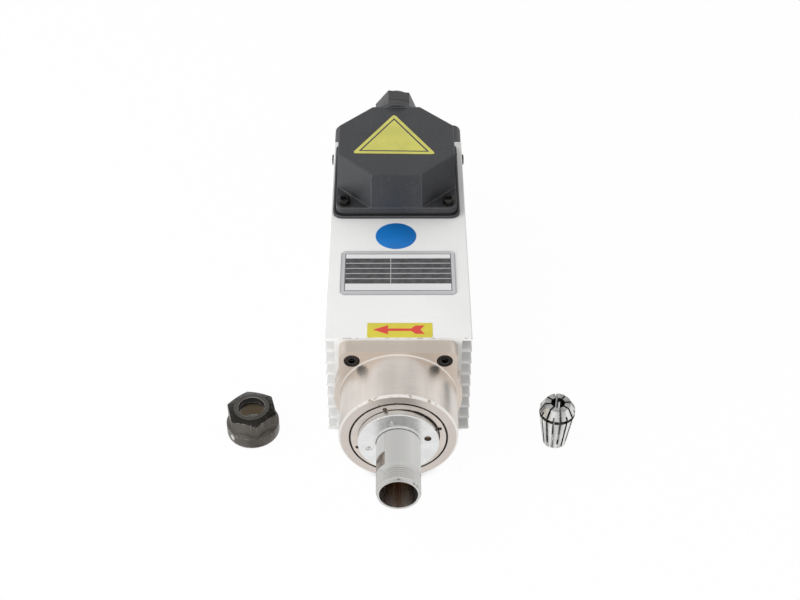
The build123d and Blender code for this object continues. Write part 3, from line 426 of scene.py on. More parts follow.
@dataclass(frozen=True)
class RingTurned(Turned):
    """Retainer ring: painted shade with oil on its outer edge by the gap to the boss, and in a crescent
    beside the cap.
    """

    outside: float = 27.35 * MM
    inside: float = 23.0 * MM
    crescent: float = 1.1 * MM
    crescent_turn: float = 0.12
    oil: Colour = (0.025, 0.018, 0.014)

    def stains_and_painted_light(self, graph: Graph, colour: Socket, at: Spot) -> Socket:
        """Paints shade with oil on the outer edge and a crescent beside the cap."""
        # Painted shadow with oil: a crescent beside the cap, widest at crescent_turn, and the outer edge by
        # the gap to the boss, varied by a noise.
        reach = graph.ranged(abs(at.turn - self.crescent_turn), 0.20, 0.02, 0.0, self.crescent)
        crescent = at.radius < self.inside + reach
        edge = (at.radius > self.outside - 0.35 * MM) + crescent
        rub = graph.ranged(graph.noise(at.vector, 300, 3), 0.30, 0.50, 0.6, 0.98)
        colour = graph.mix(edge * rub, colour, self.oil)
        return super().stains_and_painted_light(graph, colour, at)


@dataclass(frozen=True)
class CapTurned(Turned):
    """Bright cap: painted shade in the plug holes, beige at their bottoms and dark on their walls, and a dark
    root at the shaft on its upper half.
    """

    circle: float = 17.0 * MM
    hole: float = 2.0 * MM
    hole_depth: float = 2.9 * MM
    root: float = 13.05 * MM
    bottom_shade: Colour = (0.46, 0.38, 0.28)
    wall_shade: Colour = (0.12, 0.08, 0.05)
    dark_mark: Colour = (0.08, 0.06, 0.05)

    def stains_and_painted_light(self, graph: Graph, colour: Socket, at: Spot) -> Socket:
        """Paints shade into the plug holes and darkens the root at the shaft."""
        # Painted shade: the plug holes darker inside, darkest on their walls. The root at the shaft is darker
        # on its upper half.
        root = (at.radius < self.root) * (at.station < CAP_FACE) * graph.ranged(at.turn, 0.02, 0.16)
        inner = graph.within(at.radius, self.circle - self.hole, self.circle + self.hole)
        inner = inner * graph.within(at.station, CAP_FACE + 0.3 * MM, CAP_FACE + self.hole_depth)
        wall_shade = inner * (at.station < CAP_FACE + self.hole_depth - 0.3 * MM)
        return graph.layered(colour, (inner * 0.7, self.bottom_shade), (wall_shade * 0.7, self.wall_shade),
                             (root * 0.8, self.dark_mark))


@dataclass(frozen=True)
class GroundShaft(Finish):
    """Ground shaft steel: frosted thread, brownish wrench flats, oily brown socket, a painted darker
    reflection band along the top and a painted highlight on the thread's upper left.
    """

    thread_rear: float = -167.3 * MM
    wrench_rear: float = -157.4 * MM
    nose_end: float = -180.6 * MM
    mouth: float = 10.7 * MM
    slope: float = math.tan(math.radians(8))
    flat_outside: float = 12.43 * MM
    reflection_turn: float = 0.265
    oil: Colour = (0.40, 0.19, 0.065)
    rubbed: Colour = (0.30, 0.235, 0.19)

    def surface(self, graph: Graph) -> Inputs:
        """Inputs that change over the surface."""
        at = graph.spot()
        radius, turn, station = at.radius, at.turn, at.station
        soft = graph.soft_edges(self.edge)
        lines = graph.noise(graph.vector(radius, turn * (2 * MM), station), 4200, 2)
        streaks = graph.drawn(turn * 12, radius * 5, station * 7, 2)
        inside = radius < self.mouth - (station - self.nose_end) * self.slope + 0.15 * MM
        frosted = (station < self.thread_rear) * (1 - inside) * (station > self.nose_end + 0.3 * MM)
        flat = graph.within(station, self.thread_rear + 0.2 * MM, self.wrench_rear) * (1 - inside)
        flat = flat * (radius < self.flat_outside)
        deep = graph.ranged(station, self.nose_end + 2 * MM, self.nose_end + 30 * MM)
        middle = graph.ranged(abs(turn - TOP_TURN) + (streaks - 0.5) * 0.12, 0.19, 0.05)
        wet = inside * (deep * 0.5 + 0.5) * graph.larger(middle, deep)
        colour = graph.mix(graph.ranged(streaks, 0.35, 0.65), self.shade(0.96), self.shade(1.04))
        # Painted reflection: a darker band along the top of the shaft, darker still on the thread.
        reflection_band = graph.ranged(abs(turn - self.reflection_turn), 0.02, 0.15)
        colour = graph.mix(reflection_band, graph.mix(frosted, self.shade(0.84), self.shade(0.60)), colour)
        rub = graph.ranged(graph.drawn(radius * 90, turn * 60, station * 1200), 0.40, 0.60)
        # Painted highlight: the thread lighter on its upper left side; then the frosted tone, the oil in the
        # socket and the rubbed flats.
        colour = graph.layered(
            colour, (graph.within(turn, 0.33, 0.44) * frosted * 0.7, self.shade(1.45)),
            (frosted * 0.9, self.shade(0.93)), (wet * 0.9, self.oil),
            (flat * (rub * 0.25 + 0.6), self.rubbed))
        grain = graph.noise(at.vector, 5200, 2)
        relief = graph.bump(lines, 0.004 * MM, soft)
        return {"Base Color": colour,
                "Roughness": self.sheen(graph, streaks, 0.05, 0.07) + frosted * 0.04 + flat * 0.12,
                "Normal": graph.bump(grain * (frosted * 0.5 + flat * 0.6), 0.025 * MM, relief)}


@dataclass(frozen=True)
class Moulded(Finish):
    """Moulded plastic or rubber with a spark-eroded grain, light scuffs and edges lighter as painted
    highlight.
    """

    grain: float = 1500.0
    grain_depth: float = 0.05 * MM
    scuff_and_highlight: float = 0.35
    rim: Colour = (0.17, 0.17, 0.18)

    def surface(self, graph: Graph) -> Inputs:
        """Inputs that change over the surface."""
        vector, x, y, z = graph.place()
        soft = graph.soft_edges(self.edge)
        grain = graph.noise(vector, self.grain, 3)
        fleck = graph.ranged(graph.noise(vector, self.grain * 0.7, 2), 0.58, 0.70)
        cloud = graph.noise(vector, 45, 4)
        scratch = graph.ranged(graph.drawn(x * 260, y * 40, z * 90, 4), 0.62, 0.72)
        # Painted highlight with wear: edges lighter in the rim colour, with a few scratches.
        scuffs_and_edge_highlight = (graph.edge_mask(soft, 8) * 0.6 + scratch * 0.05) * self.scuff_and_highlight
        colour = self.tones(graph, cloud * 0.6 + grain * 0.4, 0.8, 1.25)
        return {"Base Color": graph.layered(colour, (fleck * 0.6, self.shade(2.2)), (scuffs_and_edge_highlight, self.rim)),
                "Roughness": self.sheen(graph, cloud, 0.06, 0.06),
                "Normal": graph.bump(grain, self.grain_depth, soft)}


@dataclass(frozen=True)
class BlackOxide(Finish):
    """Black-oxided steel: brownish black, rubbed bright on its edges."""

    bright: Colour = (0.42, 0.40, 0.37)
    worn: float = 0.8

    def surface(self, graph: Graph) -> Inputs:
        """Inputs that change over the surface."""
        vector, *_ = graph.place()
        soft = graph.soft_edges(self.edge)
        grain = graph.noise(vector, 1900, 3)
        cloud = graph.noise(vector, 90, 4)
        wear = graph.edge_mask(soft, 5) * graph.ranged(cloud, 0.3, 0.55)
        colour = self.marked(graph, self.tones(graph, cloud, 0.75, 1.3))
        return {"Base Color": graph.mix(wear * self.worn, colour, self.bright),
                "Roughness": self.sheen(graph, grain * 0.5 + cloud * 0.5, 0.08, 0.08),
                "Normal": graph.bump(grain, 0.012 * MM, soft)}


@dataclass(frozen=True)
class NutOxide(BlackOxide):
    """Clamping nut: darker cone, grey ring round the hole, bright balance dot, gold-brown thread, painted
    shade on the hole's wall above the thread.
    """

    axis: Corner = (-87.6 * MM, -96.5 * MM)
    cone_foot: float = 16.6 * MM
    top: float = 19.4 * MM
    bore: float = 12.8 * MM
    thread_top: float = 13.5 * MM
    mouth: float = 9.4 * MM
    level: float = 0.985
    dot: Point = (-99.12 * MM, -107.24 * MM, 4.6 * MM)
    dot_radius: float = 1.7 * MM
    ring: Colour = (0.11, 0.105, 0.10)
    thread: Colour = (0.085, 0.062, 0.034)
    hollow_shade: Colour = (0.012, 0.010, 0.008)
    paint: Colour = (0.95, 0.94, 0.90)

    def marked(self, graph: Graph, colour: Socket) -> Socket:
        """Colour with the nut's cone, ring, dot and thread, and painted shade on the hole's wall."""
        _, x, y, z = graph.place()
        radius, _ = graph.around(x - self.axis[0], y - self.axis[1])
        rise = graph.dot(graph.facing(), UP)
        cone = (z > self.cone_foot) * graph.within(rise, 0.5, self.level)
        away = graph.length(*(part - at for part, at in zip((x, y, z), self.dot)))
        return graph.layered(
            colour, (cone * 0.85, self.shade(0.10)),
            ((z > self.top) * (rise > self.level) * 0.6, self.ring),
            ((radius < self.bore) * (z < self.thread_top) * 0.9, self.thread),
            # Painted shade: the hole's wall above the thread near-black.
            ((radius < self.mouth) * (z > self.thread_top) * (rise < STEEP) * 0.9, self.hollow_shade),
            (away < self.dot_radius, self.paint))


@dataclass(frozen=True)
class Ground(Finish):
    """Ground or polished metal seen on small pieces, with fine scratches."""

    scratch: float = 900.0

    def surface(self, graph: Graph) -> Inputs:
        """Inputs that change over the surface."""
        vector, x, y, z = graph.place()
        soft = graph.soft_edges(self.edge)
        fine = graph.noise(graph.vector(x, y, z * 6), self.scratch, 3)
        cloud = graph.noise(vector, 120, 3)
        return {"Base Color": self.marked(graph, self.tones(graph, fine * 0.5 + cloud * 0.5, 0.88, 1.08)),
                "Roughness": self.sheen(graph, fine, 0.05, 0.06),
                "Normal": graph.bump(fine, 0.004 * MM, soft)}


@dataclass(frozen=True)
class ColletGround(Ground):
    """Collet steel: painted shade in the slits, groove and bore, painted reflection bands round it, grey end
    face.
    """

    axis: Corner = (93.7 * MM, -105.1 * MM)
    groove_outside: float = 10.6 * MM
    bore: float = 4.15 * MM
    face: float = 31.4 * MM
    groove: Span = (23.6 * MM, 25.95 * MM)
    dark: Colour = (0.012, 0.011, 0.010)

    def marked(self, graph: Graph, colour: Socket) -> Socket:
        """Colour with painted reflection bands and painted shade in the clefts."""
        _, x, y, z = graph.place()
        across, along = x - self.axis[0], y - self.axis[1]
        radius, turn = graph.around(across, along)
        # Painted reflection: lighter and darker bands round the collet.
        painted_reflection = graph.ranged(graph.drawn(turn * 15, z * 14, 0.0, 1), 0.36, 0.62)
        colour = graph.mix(painted_reflection, self.shade(0.50), colour)
        normal = graph.facing()
        outward = abs(graph.dot(normal, graph.vector(across / radius, along / radius, 0.0)))
        # Painted shade: slits, groove and bore near-black.
        cleft = graph.larger(outward, abs(graph.dot(normal, UP))) < 0.5
        groove = graph.within(z, *self.groove) * (radius < self.groove_outside)
        deep = graph.larger(graph.larger(cleft, groove), radius < self.bore)
        return graph.layered(colour, ((z > self.face) * 0.45, self.shade(0.35)), (deep * 0.96, self.dark))


@dataclass(frozen=True)
class Laminated(Finish):
    """Stacked electrical steel: thin sheets across the shaft, with dark joints."""

    sheet: float = 0.5 * MM

    def surface(self, graph: Graph) -> Inputs:
        """Inputs that change over the surface."""
        vector, _, y, _ = graph.place()
        joint = graph.ranged(abs(graph.maths("FRACT", y / self.sheet) - 0.5), 0.36, 0.46)
        cloud = graph.noise(vector, 200, 3)
        colour = graph.mix(cloud, self.shade(0.8), self.shade(1.2))
        return {"Base Color": graph.mix(joint * 0.7, colour, self.shade(0.3)),
                "Normal": graph.bump(1 - joint, 0.05 * MM)}


@dataclass(frozen=True)
class Wound(Finish):
    """Varnished winding wire laid round the crown."""

    wire: float = 0.7 * MM

    def surface(self, graph: Graph) -> Inputs:
        """Inputs that change over the surface."""
        at = graph.spot()
        lean = graph.noise(at.vector, 120, 2) * (1.2 * MM)
        strand = abs(graph.maths("FRACT", (at.radius + at.station + lean) / self.wire) - 0.5) * 2
        # Painted shade in the crevices between wires and painted highlight along each wire's middle.
        colour = graph.mix(strand, self.shade(1.2), self.shade(0.35))
        return {"Base Color": colour, "Roughness": graph.ranged(strand, 0, 1, 0.25, 0.5),
                "Normal": graph.bump(1 - strand, 0.25 * MM)}


@dataclass(frozen=True)
class Printed(Finish):
    """Printed film: even colour with a faint orange-peel gloss and slightly rubbed ink."""

    rub: float = 0.06

    def surface(self, graph: Graph) -> Inputs:
        """Inputs that change over the surface."""
        vector, *_ = graph.place()
        peel = graph.noise(vector, 900, 2)
        cloud = graph.noise(vector, 70, 4)
        return {"Base Color": self.marked(graph, self.tones(graph, cloud, 1 - self.rub, 1 + self.rub)),
                "Roughness": self.sheen(graph, cloud),
                "Normal": graph.bump(peel, 0.01 * MM)}


@dataclass(frozen=True)
class PrintedTriangle(Printed):
    """Yellow film with one thin dark line that follows the triangle's three sides."""

    corners: tuple[Corner, Corner, Corner] = ((0, 0), (1, 0), (0, 1))
    margin: float = 2.3 * MM
    line: float = 1.05 * MM
    blur: float = 0.08 * MM
    ink: Colour = (0.035, 0.035, 0.05)

    def marked(self, graph: Graph, colour: Socket) -> Socket:
        """Colour with the line."""
        _, x, y, _ = graph.place()
        gaps = []
        for (ax, ay), (bx, by) in zip(self.corners, self.corners[1:] + self.corners[:1]):
            length = math.hypot(bx - ax, by - ay)
            gaps.append((x - ax) * ((ay - by) / length) + (y - ay) * ((bx - ax) / length))
        gap = graph.maths("MINIMUM", graph.maths("MINIMUM", gaps[0], gaps[1]), gaps[2])
        half = self.line / 2
        off = abs(gap - self.margin - half)
        return graph.mix(graph.ranged(off, half + self.blur, half - self.blur), colour, self.ink)


@dataclass(frozen=True)
class PlateRows(Finish):
    """Etched plate: light border, thin dark frame, pale strips and dark rows with light lines."""

    left: float = -32.1 * MM
    right: float = 32.1 * MM
    front: float = -55.5 * MM
    rear: float = -21.3 * MM
    rows_front: float = -49.2 * MM
    rows_rear: float = -25.5 * MM
    rows: int = 5
    frame_line: float = 0.5 * MM
    brim: float = 1.9 * MM
    hairline: float = 0.07
    divider: float = -4.45 * MM
    dark: Colour = (0.055, 0.055, 0.058)
    pale: Colour = (0.80, 0.80, 0.80)

    def surface(self, graph: Graph) -> Inputs:
        """Inputs that change over the surface."""
        vector, x, y, _ = graph.place()
        field_ = graph.within(x, self.left, self.right) * graph.within(y, self.front, self.rear)
        inner = graph.within(x, self.left + self.frame_line, self.right - self.frame_line)
        inner = inner * graph.within(y, self.front + self.frame_line, self.rear - self.frame_line)
        step = (self.rows_rear - self.rows_front) / self.rows
        row = (y - self.rows_front) / step
        hair = abs(graph.maths("FRACT", row) - 0.5) > 0.5 - self.hairline
        column = abs(x - self.divider) < 0.22 * MM
        rows = inner * graph.within(y, self.rows_front, self.rows_rear)
        print_ = rows * (1 - graph.larger(hair, column) * 0.6)
        grain = graph.noise(vector, 2000, 2)
        cloud = graph.noise(vector, 300, 3)
        brim = graph.within(x, self.left - self.brim, self.right + self.brim)
        brim = 1 - brim * graph.within(y, self.front - self.brim - 1 * MM, self.rear + self.brim)
        dark = graph.mix(graph.ranged(cloud, 0.4, 0.6), self.dark, tuple(part * 1.5 for part in self.dark))
        colour = graph.mix(grain, self.shade(0.92), self.shade(1.06))
        return {"Base Color": graph.layered(colour, (brim * 0.6, self.shade(0.5)), (inner * 0.8, self.pale),
                                            (field_ * (1 - inner) * 0.85, self.dark), (print_, dark)),
                "Metallic": 0.55 - inner * 0.45,
                "Normal": graph.bump(grain * 0.2 + print_, 0.02 * MM)}


# ---- Finish palette ----
BODY_ALUMINIUM = Blasted("blasted_aluminium", (0.87, 0.87, 0.86), 0.5, 0.08, seam=0.55, shade_depth=0.20)
SATIN_NICKEL = HousingTurned("satin_nickel", (0.78, 0.72, 0.665), 0.34, 0.95, streak=0.11)
RING_NICKEL = RingTurned("ring_nickel", (0.70, 0.64, 0.585), 0.33, 0.95)
CAP_SILVER = CapTurned("cap_silver", (0.83, 0.835, 0.83), 0.30, 0.95, feed=0.3 * MM)
PLUG_SILVER = Turned("plug_silver", (0.86, 0.86, 0.84), 0.18, 1.0)
SHAFT_STEEL = GroundShaft("ground_shaft_steel", (0.66, 0.655, 0.64), 0.26, 1.0)
BEARING_STEEL = Ground("bearing_steel", (0.62, 0.62, 0.61), 0.15, 1.0)
DARK_SCREW = BlackOxide("dark_screw_steel", (0.030, 0.029, 0.028), 0.30, 0.9)
NUT_OXIDE = NutOxide("nut_black_oxide", (0.106, 0.097, 0.087), 0.30, 0.9, worn=1.0,
                     bright=(0.75, 0.73, 0.69), edge=0.45 * MM)
RING_OXIDE = BlackOxide("ring_black_oxide", (0.060, 0.046, 0.028), 0.34, 0.9, worn=0.3)
COLLET_STEEL = ColletGround("collet_steel", (0.84, 0.84, 0.82), 0.20, 1.0)
LID_PLASTIC = Moulded("lid_plastic", (0.031, 0.032, 0.035), 0.50, specular=0.55, edge=1.1 * MM, scuff_and_highlight=1.0)
COWL_PLASTIC = Moulded("cowl_plastic", (0.021, 0.021, 0.022), 0.46, specular=0.7, edge=0.5 * MM)
GASKET_RUBBER = Moulded("gasket_rubber", (0.006, 0.006, 0.006), 0.7, specular=0.2, grain=900)
GLAND_NYLON = Moulded("gland_nylon", (0.034, 0.034, 0.036), 0.38, grain=2200, grain_depth=0.02 * MM,
                      scuff_and_highlight=0.8)
LAMINATION = Laminated("lamination_steel", (0.30, 0.30, 0.31), 0.4, 0.9)
WINDING = Wound("winding_copper", (0.55, 0.22, 0.09), 0.35, 0.7)
CAST_ALUMINIUM = Blasted("cast_aluminium", (0.62, 0.62, 0.62), 0.45, 0.9, grain=700, grain_depth=0.08 * MM)
FAN_PLASTIC = Moulded("fan_plastic", (0.05, 0.05, 0.055), 0.45)
BRASS = Ground("terminal_brass", (0.70, 0.50, 0.20), 0.22, 1.0)
BLOCK_PLASTIC = Moulded("block_plastic", (0.10, 0.055, 0.030), 0.35)
LABEL_YELLOW = Printed("label_yellow", (0.66, 0.575, 0.055), 0.42)
LABEL_RED = Printed("arrow_red", (0.66, 0.060, 0.045), 0.42)
LABEL_BLUE = Printed("disc_blue", (0.003, 0.150, 0.48), 0.4)
PLATE_METAL = PlateRows("etched_plate", (0.66, 0.66, 0.68), 0.38, 0.5)


# ---- Bench: modelling by operators ----
class Bench:
    """Small set of hand operations on one mesh object at a time."""

    @staticmethod
    def clear() -> None:
        """Deselects everything."""
        if bpy.context.object and bpy.context.object.mode != "OBJECT":
            Bench.done()
        bpy.ops.object.select_all(action="DESELECT")

    @staticmethod
    def done() -> None:
        """Leaves edit mode."""
        bpy.ops.object.mode_set(mode="OBJECT")

    @staticmethod
    def named(name: str) -> bpy.types.Object:
        """Names the object that was just added, and returns it."""
        made = bpy.context.object
        made.name = made.data.name = name
        return made

    @classmethod
    def block(cls, name: str, low: Point, high: Point) -> bpy.types.Object:
        """Adds a box between two corners, with its size applied."""
        cls.clear()
        middle = [(a + b) / 2 for a, b in zip(low, high)]
        bpy.ops.mesh.primitive_cube_add(size=1, location=middle)
        made = cls.named(name)
        made.scale = [b - a for a, b in zip(low, high)]
        cls.settle(made)
        return made

    @classmethod
    def trace(cls, name: str, corners: list[Corner], level: float = 0.0) -> bpy.types.Object:
        """Draws a line from corner to corner on a level, and stays in edit mode with all of it selected.

        Args:
            name: name of the piece.
            corners: the line's corners.
            level: its height.

        Returns:
            The piece.
        """
        cls.clear()
        bpy.ops.mesh.primitive_plane_add(size=1, location=(0, 0, 0))
        made = cls.named(name)
        cls.whole(made)
        bpy.ops.mesh.merge(type="CENTER")
        bpy.ops.transform.translate(value=(*corners[0], level))
        for here, there in zip(corners, corners[1:]):
            bpy.ops.mesh.extrude_vertices_move(TRANSFORM_OT_translate={
                "value": (there[0] - here[0], there[1] - here[1], 0)})
        bpy.ops.mesh.select_all(action="SELECT")
        return made

    @classmethod
    def sheet(cls, name: str, corners: list[Corner], base: float, thickness: float) -> bpy.types.Object:
        """Fills an outline on a level and raises it to a thickness."""
        made = cls.trace(name, corners, base)
        bpy.ops.mesh.edge_face_add()
        bpy.ops.mesh.extrude_region_move(TRANSFORM_OT_translate={"value": (0, 0, thickness)})
        cls.turn_out()
        return made

    @classmethod
    def turn_out(cls) -> None:
        """Faces the edited piece outwards all over and leaves edit mode."""
        bpy.ops.mesh.select_all(action="SELECT")
        bpy.ops.mesh.normals_make_consistent(inside=False)
        cls.done()

    @classmethod
    def round_corners(cls, made: bpy.types.Object, radius: float, segments: int) -> None:
        """Rounds the upright edges of a flat piece."""
        def upright(edge: bpy.types.MeshEdge) -> bool:
            """Whether an edge rises more than it runs."""
            a, b = (made.data.vertices[index].co for index in edge.vertices)
            return abs(a.z - b.z) > math.hypot(a.x - b.x, a.y - b.y)

        cls.pick(made, "EDGE", upright)
        bpy.ops.mesh.bevel(offset=radius, segments=segments)
        cls.done()

    @classmethod
    def copy(cls, node: str, name: str) -> bpy.types.Object:
        """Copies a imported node's mesh under a new name, merged into one skin.

        Args:
            node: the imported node.
            name: name of the copy.

        Returns:
            The copy.
        """
        cls.clear()
        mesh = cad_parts[node].data.copy()
        made = bpy.data.objects.new(name, mesh)
        bpy.context.scene.collection.objects.link(made)
        made.matrix_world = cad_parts[node].matrix_world
        mesh.name = name
        cls.settle(made)
        cls.whole(made)
        bpy.ops.mesh.remove_doubles(threshold=WELD)
        cls.done()
        return made

    @classmethod
    def carve(cls, made: bpy.types.Object, tool: bpy.types.Object, operation: str) -> None:
        """Cuts a piece with a closed tool, which is then thrown away.

        Args:
            made: the piece.
            tool: the cutting shape.
            operation: "DIFFERENCE" or "INTERSECT".
        """
        cls.modify(made, "BOOLEAN", operation=operation, object=tool, solver="EXACT")
        cls.only(tool)
        bpy.ops.object.delete()

    @classmethod
    def settle(cls, made: bpy.types.Object) -> None:
        """Moves an object's place, turn and size into its mesh."""
        cls.only(made)
        bpy.ops.object.transform_apply(location=True, rotation=True, scale=True)

    @classmethod
    def only(cls, made: bpy.types.Object) -> None:
        """Selects one object and makes it active."""
        cls.clear()
        made.select_set(True)
        bpy.context.view_layer.objects.active = made

    @classmethod
    def pick(cls, made: bpy.types.Object, mode: str, wanted: Callable) -> None:
        """Goes to edit mode with some parts selected.

        Args:
            made: the object.
            mode: "VERT", "EDGE" or "FACE".
            wanted: test on a vertex, an edge or a face.
        """
        cls.only(made)
        bpy.ops.object.mode_set(mode="EDIT")
        bpy.ops.mesh.select_mode(type=mode)
        bpy.ops.mesh.select_all(action="DESELECT")
        cls.done()
        mesh = made.data
        for part in {"VERT": mesh.vertices, "EDGE": mesh.edges, "FACE": mesh.polygons}[mode]:
            part.select = wanted(part)
        bpy.ops.object.mode_set(mode="EDIT")

    @classmethod
    def whole(cls, made: bpy.types.Object) -> None:
        """Goes to edit mode with everything selected."""
        cls.pick(made, "VERT", lambda vertex: True)

    @classmethod
    def modify(cls, made: bpy.types.Object, kind: str, **settings) -> None:
        """Adds a modifier and applies it."""
        cls.only(made)
        bpy.ops.object.modifier_add(type=kind)
        modifier = made.modifiers[-1]
        for key, value in settings.items():
            setattr(modifier, key, value)
        bpy.ops.object.modifier_apply(modifier=modifier.name)

    @classmethod
    def finish(cls, made: bpy.types.Object, body: Body, slot: Slot, finish: Finish,
               smooth: float = 35.0, weigh: bool = False) -> None:
        """Smooths, dresses and hands over a piece.

        Args:
            made: the piece.
            body: what it moves with.
            slot: the record's material slot it belongs to; not used.
            finish: its finish.
            smooth: edges sharper than this many degrees stay sharp.
            weigh: large faces keep their own normal beside small ones.
        """
        cls.only(made)
        bpy.ops.object.shade_smooth_by_angle(angle=math.radians(smooth))
        if weigh:
            cls.modify(made, "WEIGHTED_NORMAL", keep_sharp=True)
        finish.coat(made.data)
        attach(made, body.value)
        LOG.info("%s: %d faces, rides on %s", made.name, len(made.data.polygons), body.value)


def on_top(face: bpy.types.MeshPolygon) -> bool:
    """Whether a face looks up."""
    return face.normal.z > STEEP


# ---- Sub-assemblies ----
@dataclass
class Assembly:
    """Base of the sub-assemblies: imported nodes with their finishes, and new pieces."""

    finishes: ClassVar[dict[str, Finish]] = {}

    def dress(self) -> None:
        """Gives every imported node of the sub-assembly its finish."""
        for name, finish in self.finishes.items():
            finish.coat(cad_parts[name].data)
            LOG.info("%s: %s", name, finish.name)

    def build(self) -> None:
        """Adds the sub-assembly's new pieces; none unless a class says so."""


@dataclass
class RatingPlate:
    """Etched plate on the body, its fields left bare."""

    left: float = -34.6 * MM
    right: float = 34.5 * MM
    front: float = -58.9 * MM
    rear: float = -19.0 * MM
    thickness: float = 0.5 * MM
    corner: float = 3.0 * MM
    rim: float = 1.7 * MM
    sink: float = 0.15 * MM

    def build(self) -> None:
        """Cuts the plate, rounds its corners and presses in the field inside its rim."""
        plate = Bench.block("rating_plate", (self.left, self.front, BODY_TOP),
                            (self.right, self.rear, BODY_TOP + self.thickness))
        Bench.round_corners(plate, self.corner, 6)
        Bench.pick(plate, "FACE", on_top)
        bpy.ops.mesh.inset(thickness=self.rim)
        bpy.ops.transform.translate(value=(0, 0, -self.sink))
        Bench.done()
        Bench.finish(plate, Body.HOUSING, Slot.BODY, PLATE_METAL)


@dataclass
class ArrowLabel:
    """Yellow film with the red arrow that shows which way the shaft turns."""

    left: float = -17.85 * MM
    right: float = 19.75 * MM
    front: float = -95.6 * MM
    rear: float = -83.3 * MM
    film: float = 0.12 * MM
    corner: float = 0.8 * MM
    middle: float = -89.1 * MM
    half_arrow: tuple[Corner, ...] = (
        (-14.6 * MM, 0), (-5.9 * MM, -3.8 * MM), (-5.9 * MM, -1.0 * MM), (7.3 * MM, -1.0 * MM),
        (10.0 * MM, -3.5 * MM), (15.2 * MM, -3.5 * MM), (12.7 * MM, 0))

    def build(self) -> None:
        """Lays the film and the arrow on it."""
        film = Bench.block("direction_label", (self.left, self.front, BODY_TOP),
                           (self.right, self.rear, BODY_TOP + self.film))
        Bench.round_corners(film, self.corner, 4)
        Bench.finish(film, Body.HOUSING, Slot.BODY, LABEL_YELLOW)
        arrow = Bench.sheet("direction_arrow", self.outline(), BODY_TOP + self.film, self.film / 2)
        Bench.finish(arrow, Body.HOUSING, Slot.BODY, LABEL_RED)

    def outline(self) -> list[Corner]:
        """Corners of the arrow, from its tip round its near side and back along its far side."""
        far = [(x, -y) for x, y in reversed(self.half_arrow[1:-1])]
        return [(x, self.middle + y) for x, y in (*self.half_arrow, *far)]


@dataclass
class BlueDisc:
    """Round blue film on the body, left bare."""

    centre: Point = (-1.3 * MM, -3.8 * MM, BODY_TOP)
    radius: float = 12.6 * MM
    film: float = 0.12 * MM

    def build(self) -> None:
        """Lays the disc and rounds its rim."""
        Bench.clear()
        x, y, z = self.centre
        bpy.ops.mesh.primitive_cylinder_add(vertices=128, radius=self.radius, depth=self.film,
                                            location=(x, y, z + self.film / 2))
        disc = Bench.named("blue_disc")
        Bench.settle(disc)
        Bench.pick(disc, "FACE", on_top)
        bpy.ops.mesh.bevel(offset=self.film / 3, segments=2)
        Bench.done()
        Bench.finish(disc, Body.HOUSING, Slot.BODY, LABEL_BLUE)


@dataclass
class LidTriangle:
    """Plain yellow triangle on the lid with an inner dark line."""

    corners: tuple[Corner, Corner, Corner] = ((-28.7 * MM, 37.4 * MM), (23.8 * MM, 36.3 * MM),
                                              (-2.4 * MM, 80.1 * MM))
    film: float = 0.15 * MM
    rounding: float = 2.6 * MM

    def build(self) -> None:
        """Draws the triangle and rounds its corners."""
        film = Bench.sheet("lid_triangle", list(self.corners), LID_TOP, self.film)
        Bench.round_corners(film, self.rounding, 6)
        Bench.finish(film, Body.HOUSING, Slot.BOX,
                     PrintedTriangle("triangle_yellow", (0.60, 0.575, 0.13), 0.5, corners=self.corners))


@dataclass
class BodyAndLabels(Assembly):
    """Ribbed body with what is stuck on its top."""

    finishes: ClassVar[dict[str, Finish]] = {"motor_housing": BODY_ALUMINIUM}

    def build(self) -> None:
        """Lays plate, arrow label and disc."""
        for piece in (RatingPlate(), ArrowLabel(), BlueDisc()):
            piece.build()


@dataclass
class FrontEnd(Assembly):
    """Bearing housing with its screws, retainer ring, cap and bearings."""

    finishes: ClassVar[dict[str, Finish]] = {
        "front_bearing_housing": SATIN_NICKEL, "bearing_retainer_ring": RING_NICKEL,
        "front_flange_screws": DARK_SCREW, "labyrinth_cap": CAP_SILVER, "balance_screws": PLUG_SILVER,
        "front_bearing_outer_rings": BEARING_STEEL, "front_bearing_inner_rings": BEARING_STEEL,
        "front_bearing_balls": BEARING_STEEL, "front_bearing_cages": BRASS,
        "front_outer_spacer": BEARING_STEEL, "front_inner_spacer": BEARING_STEEL}


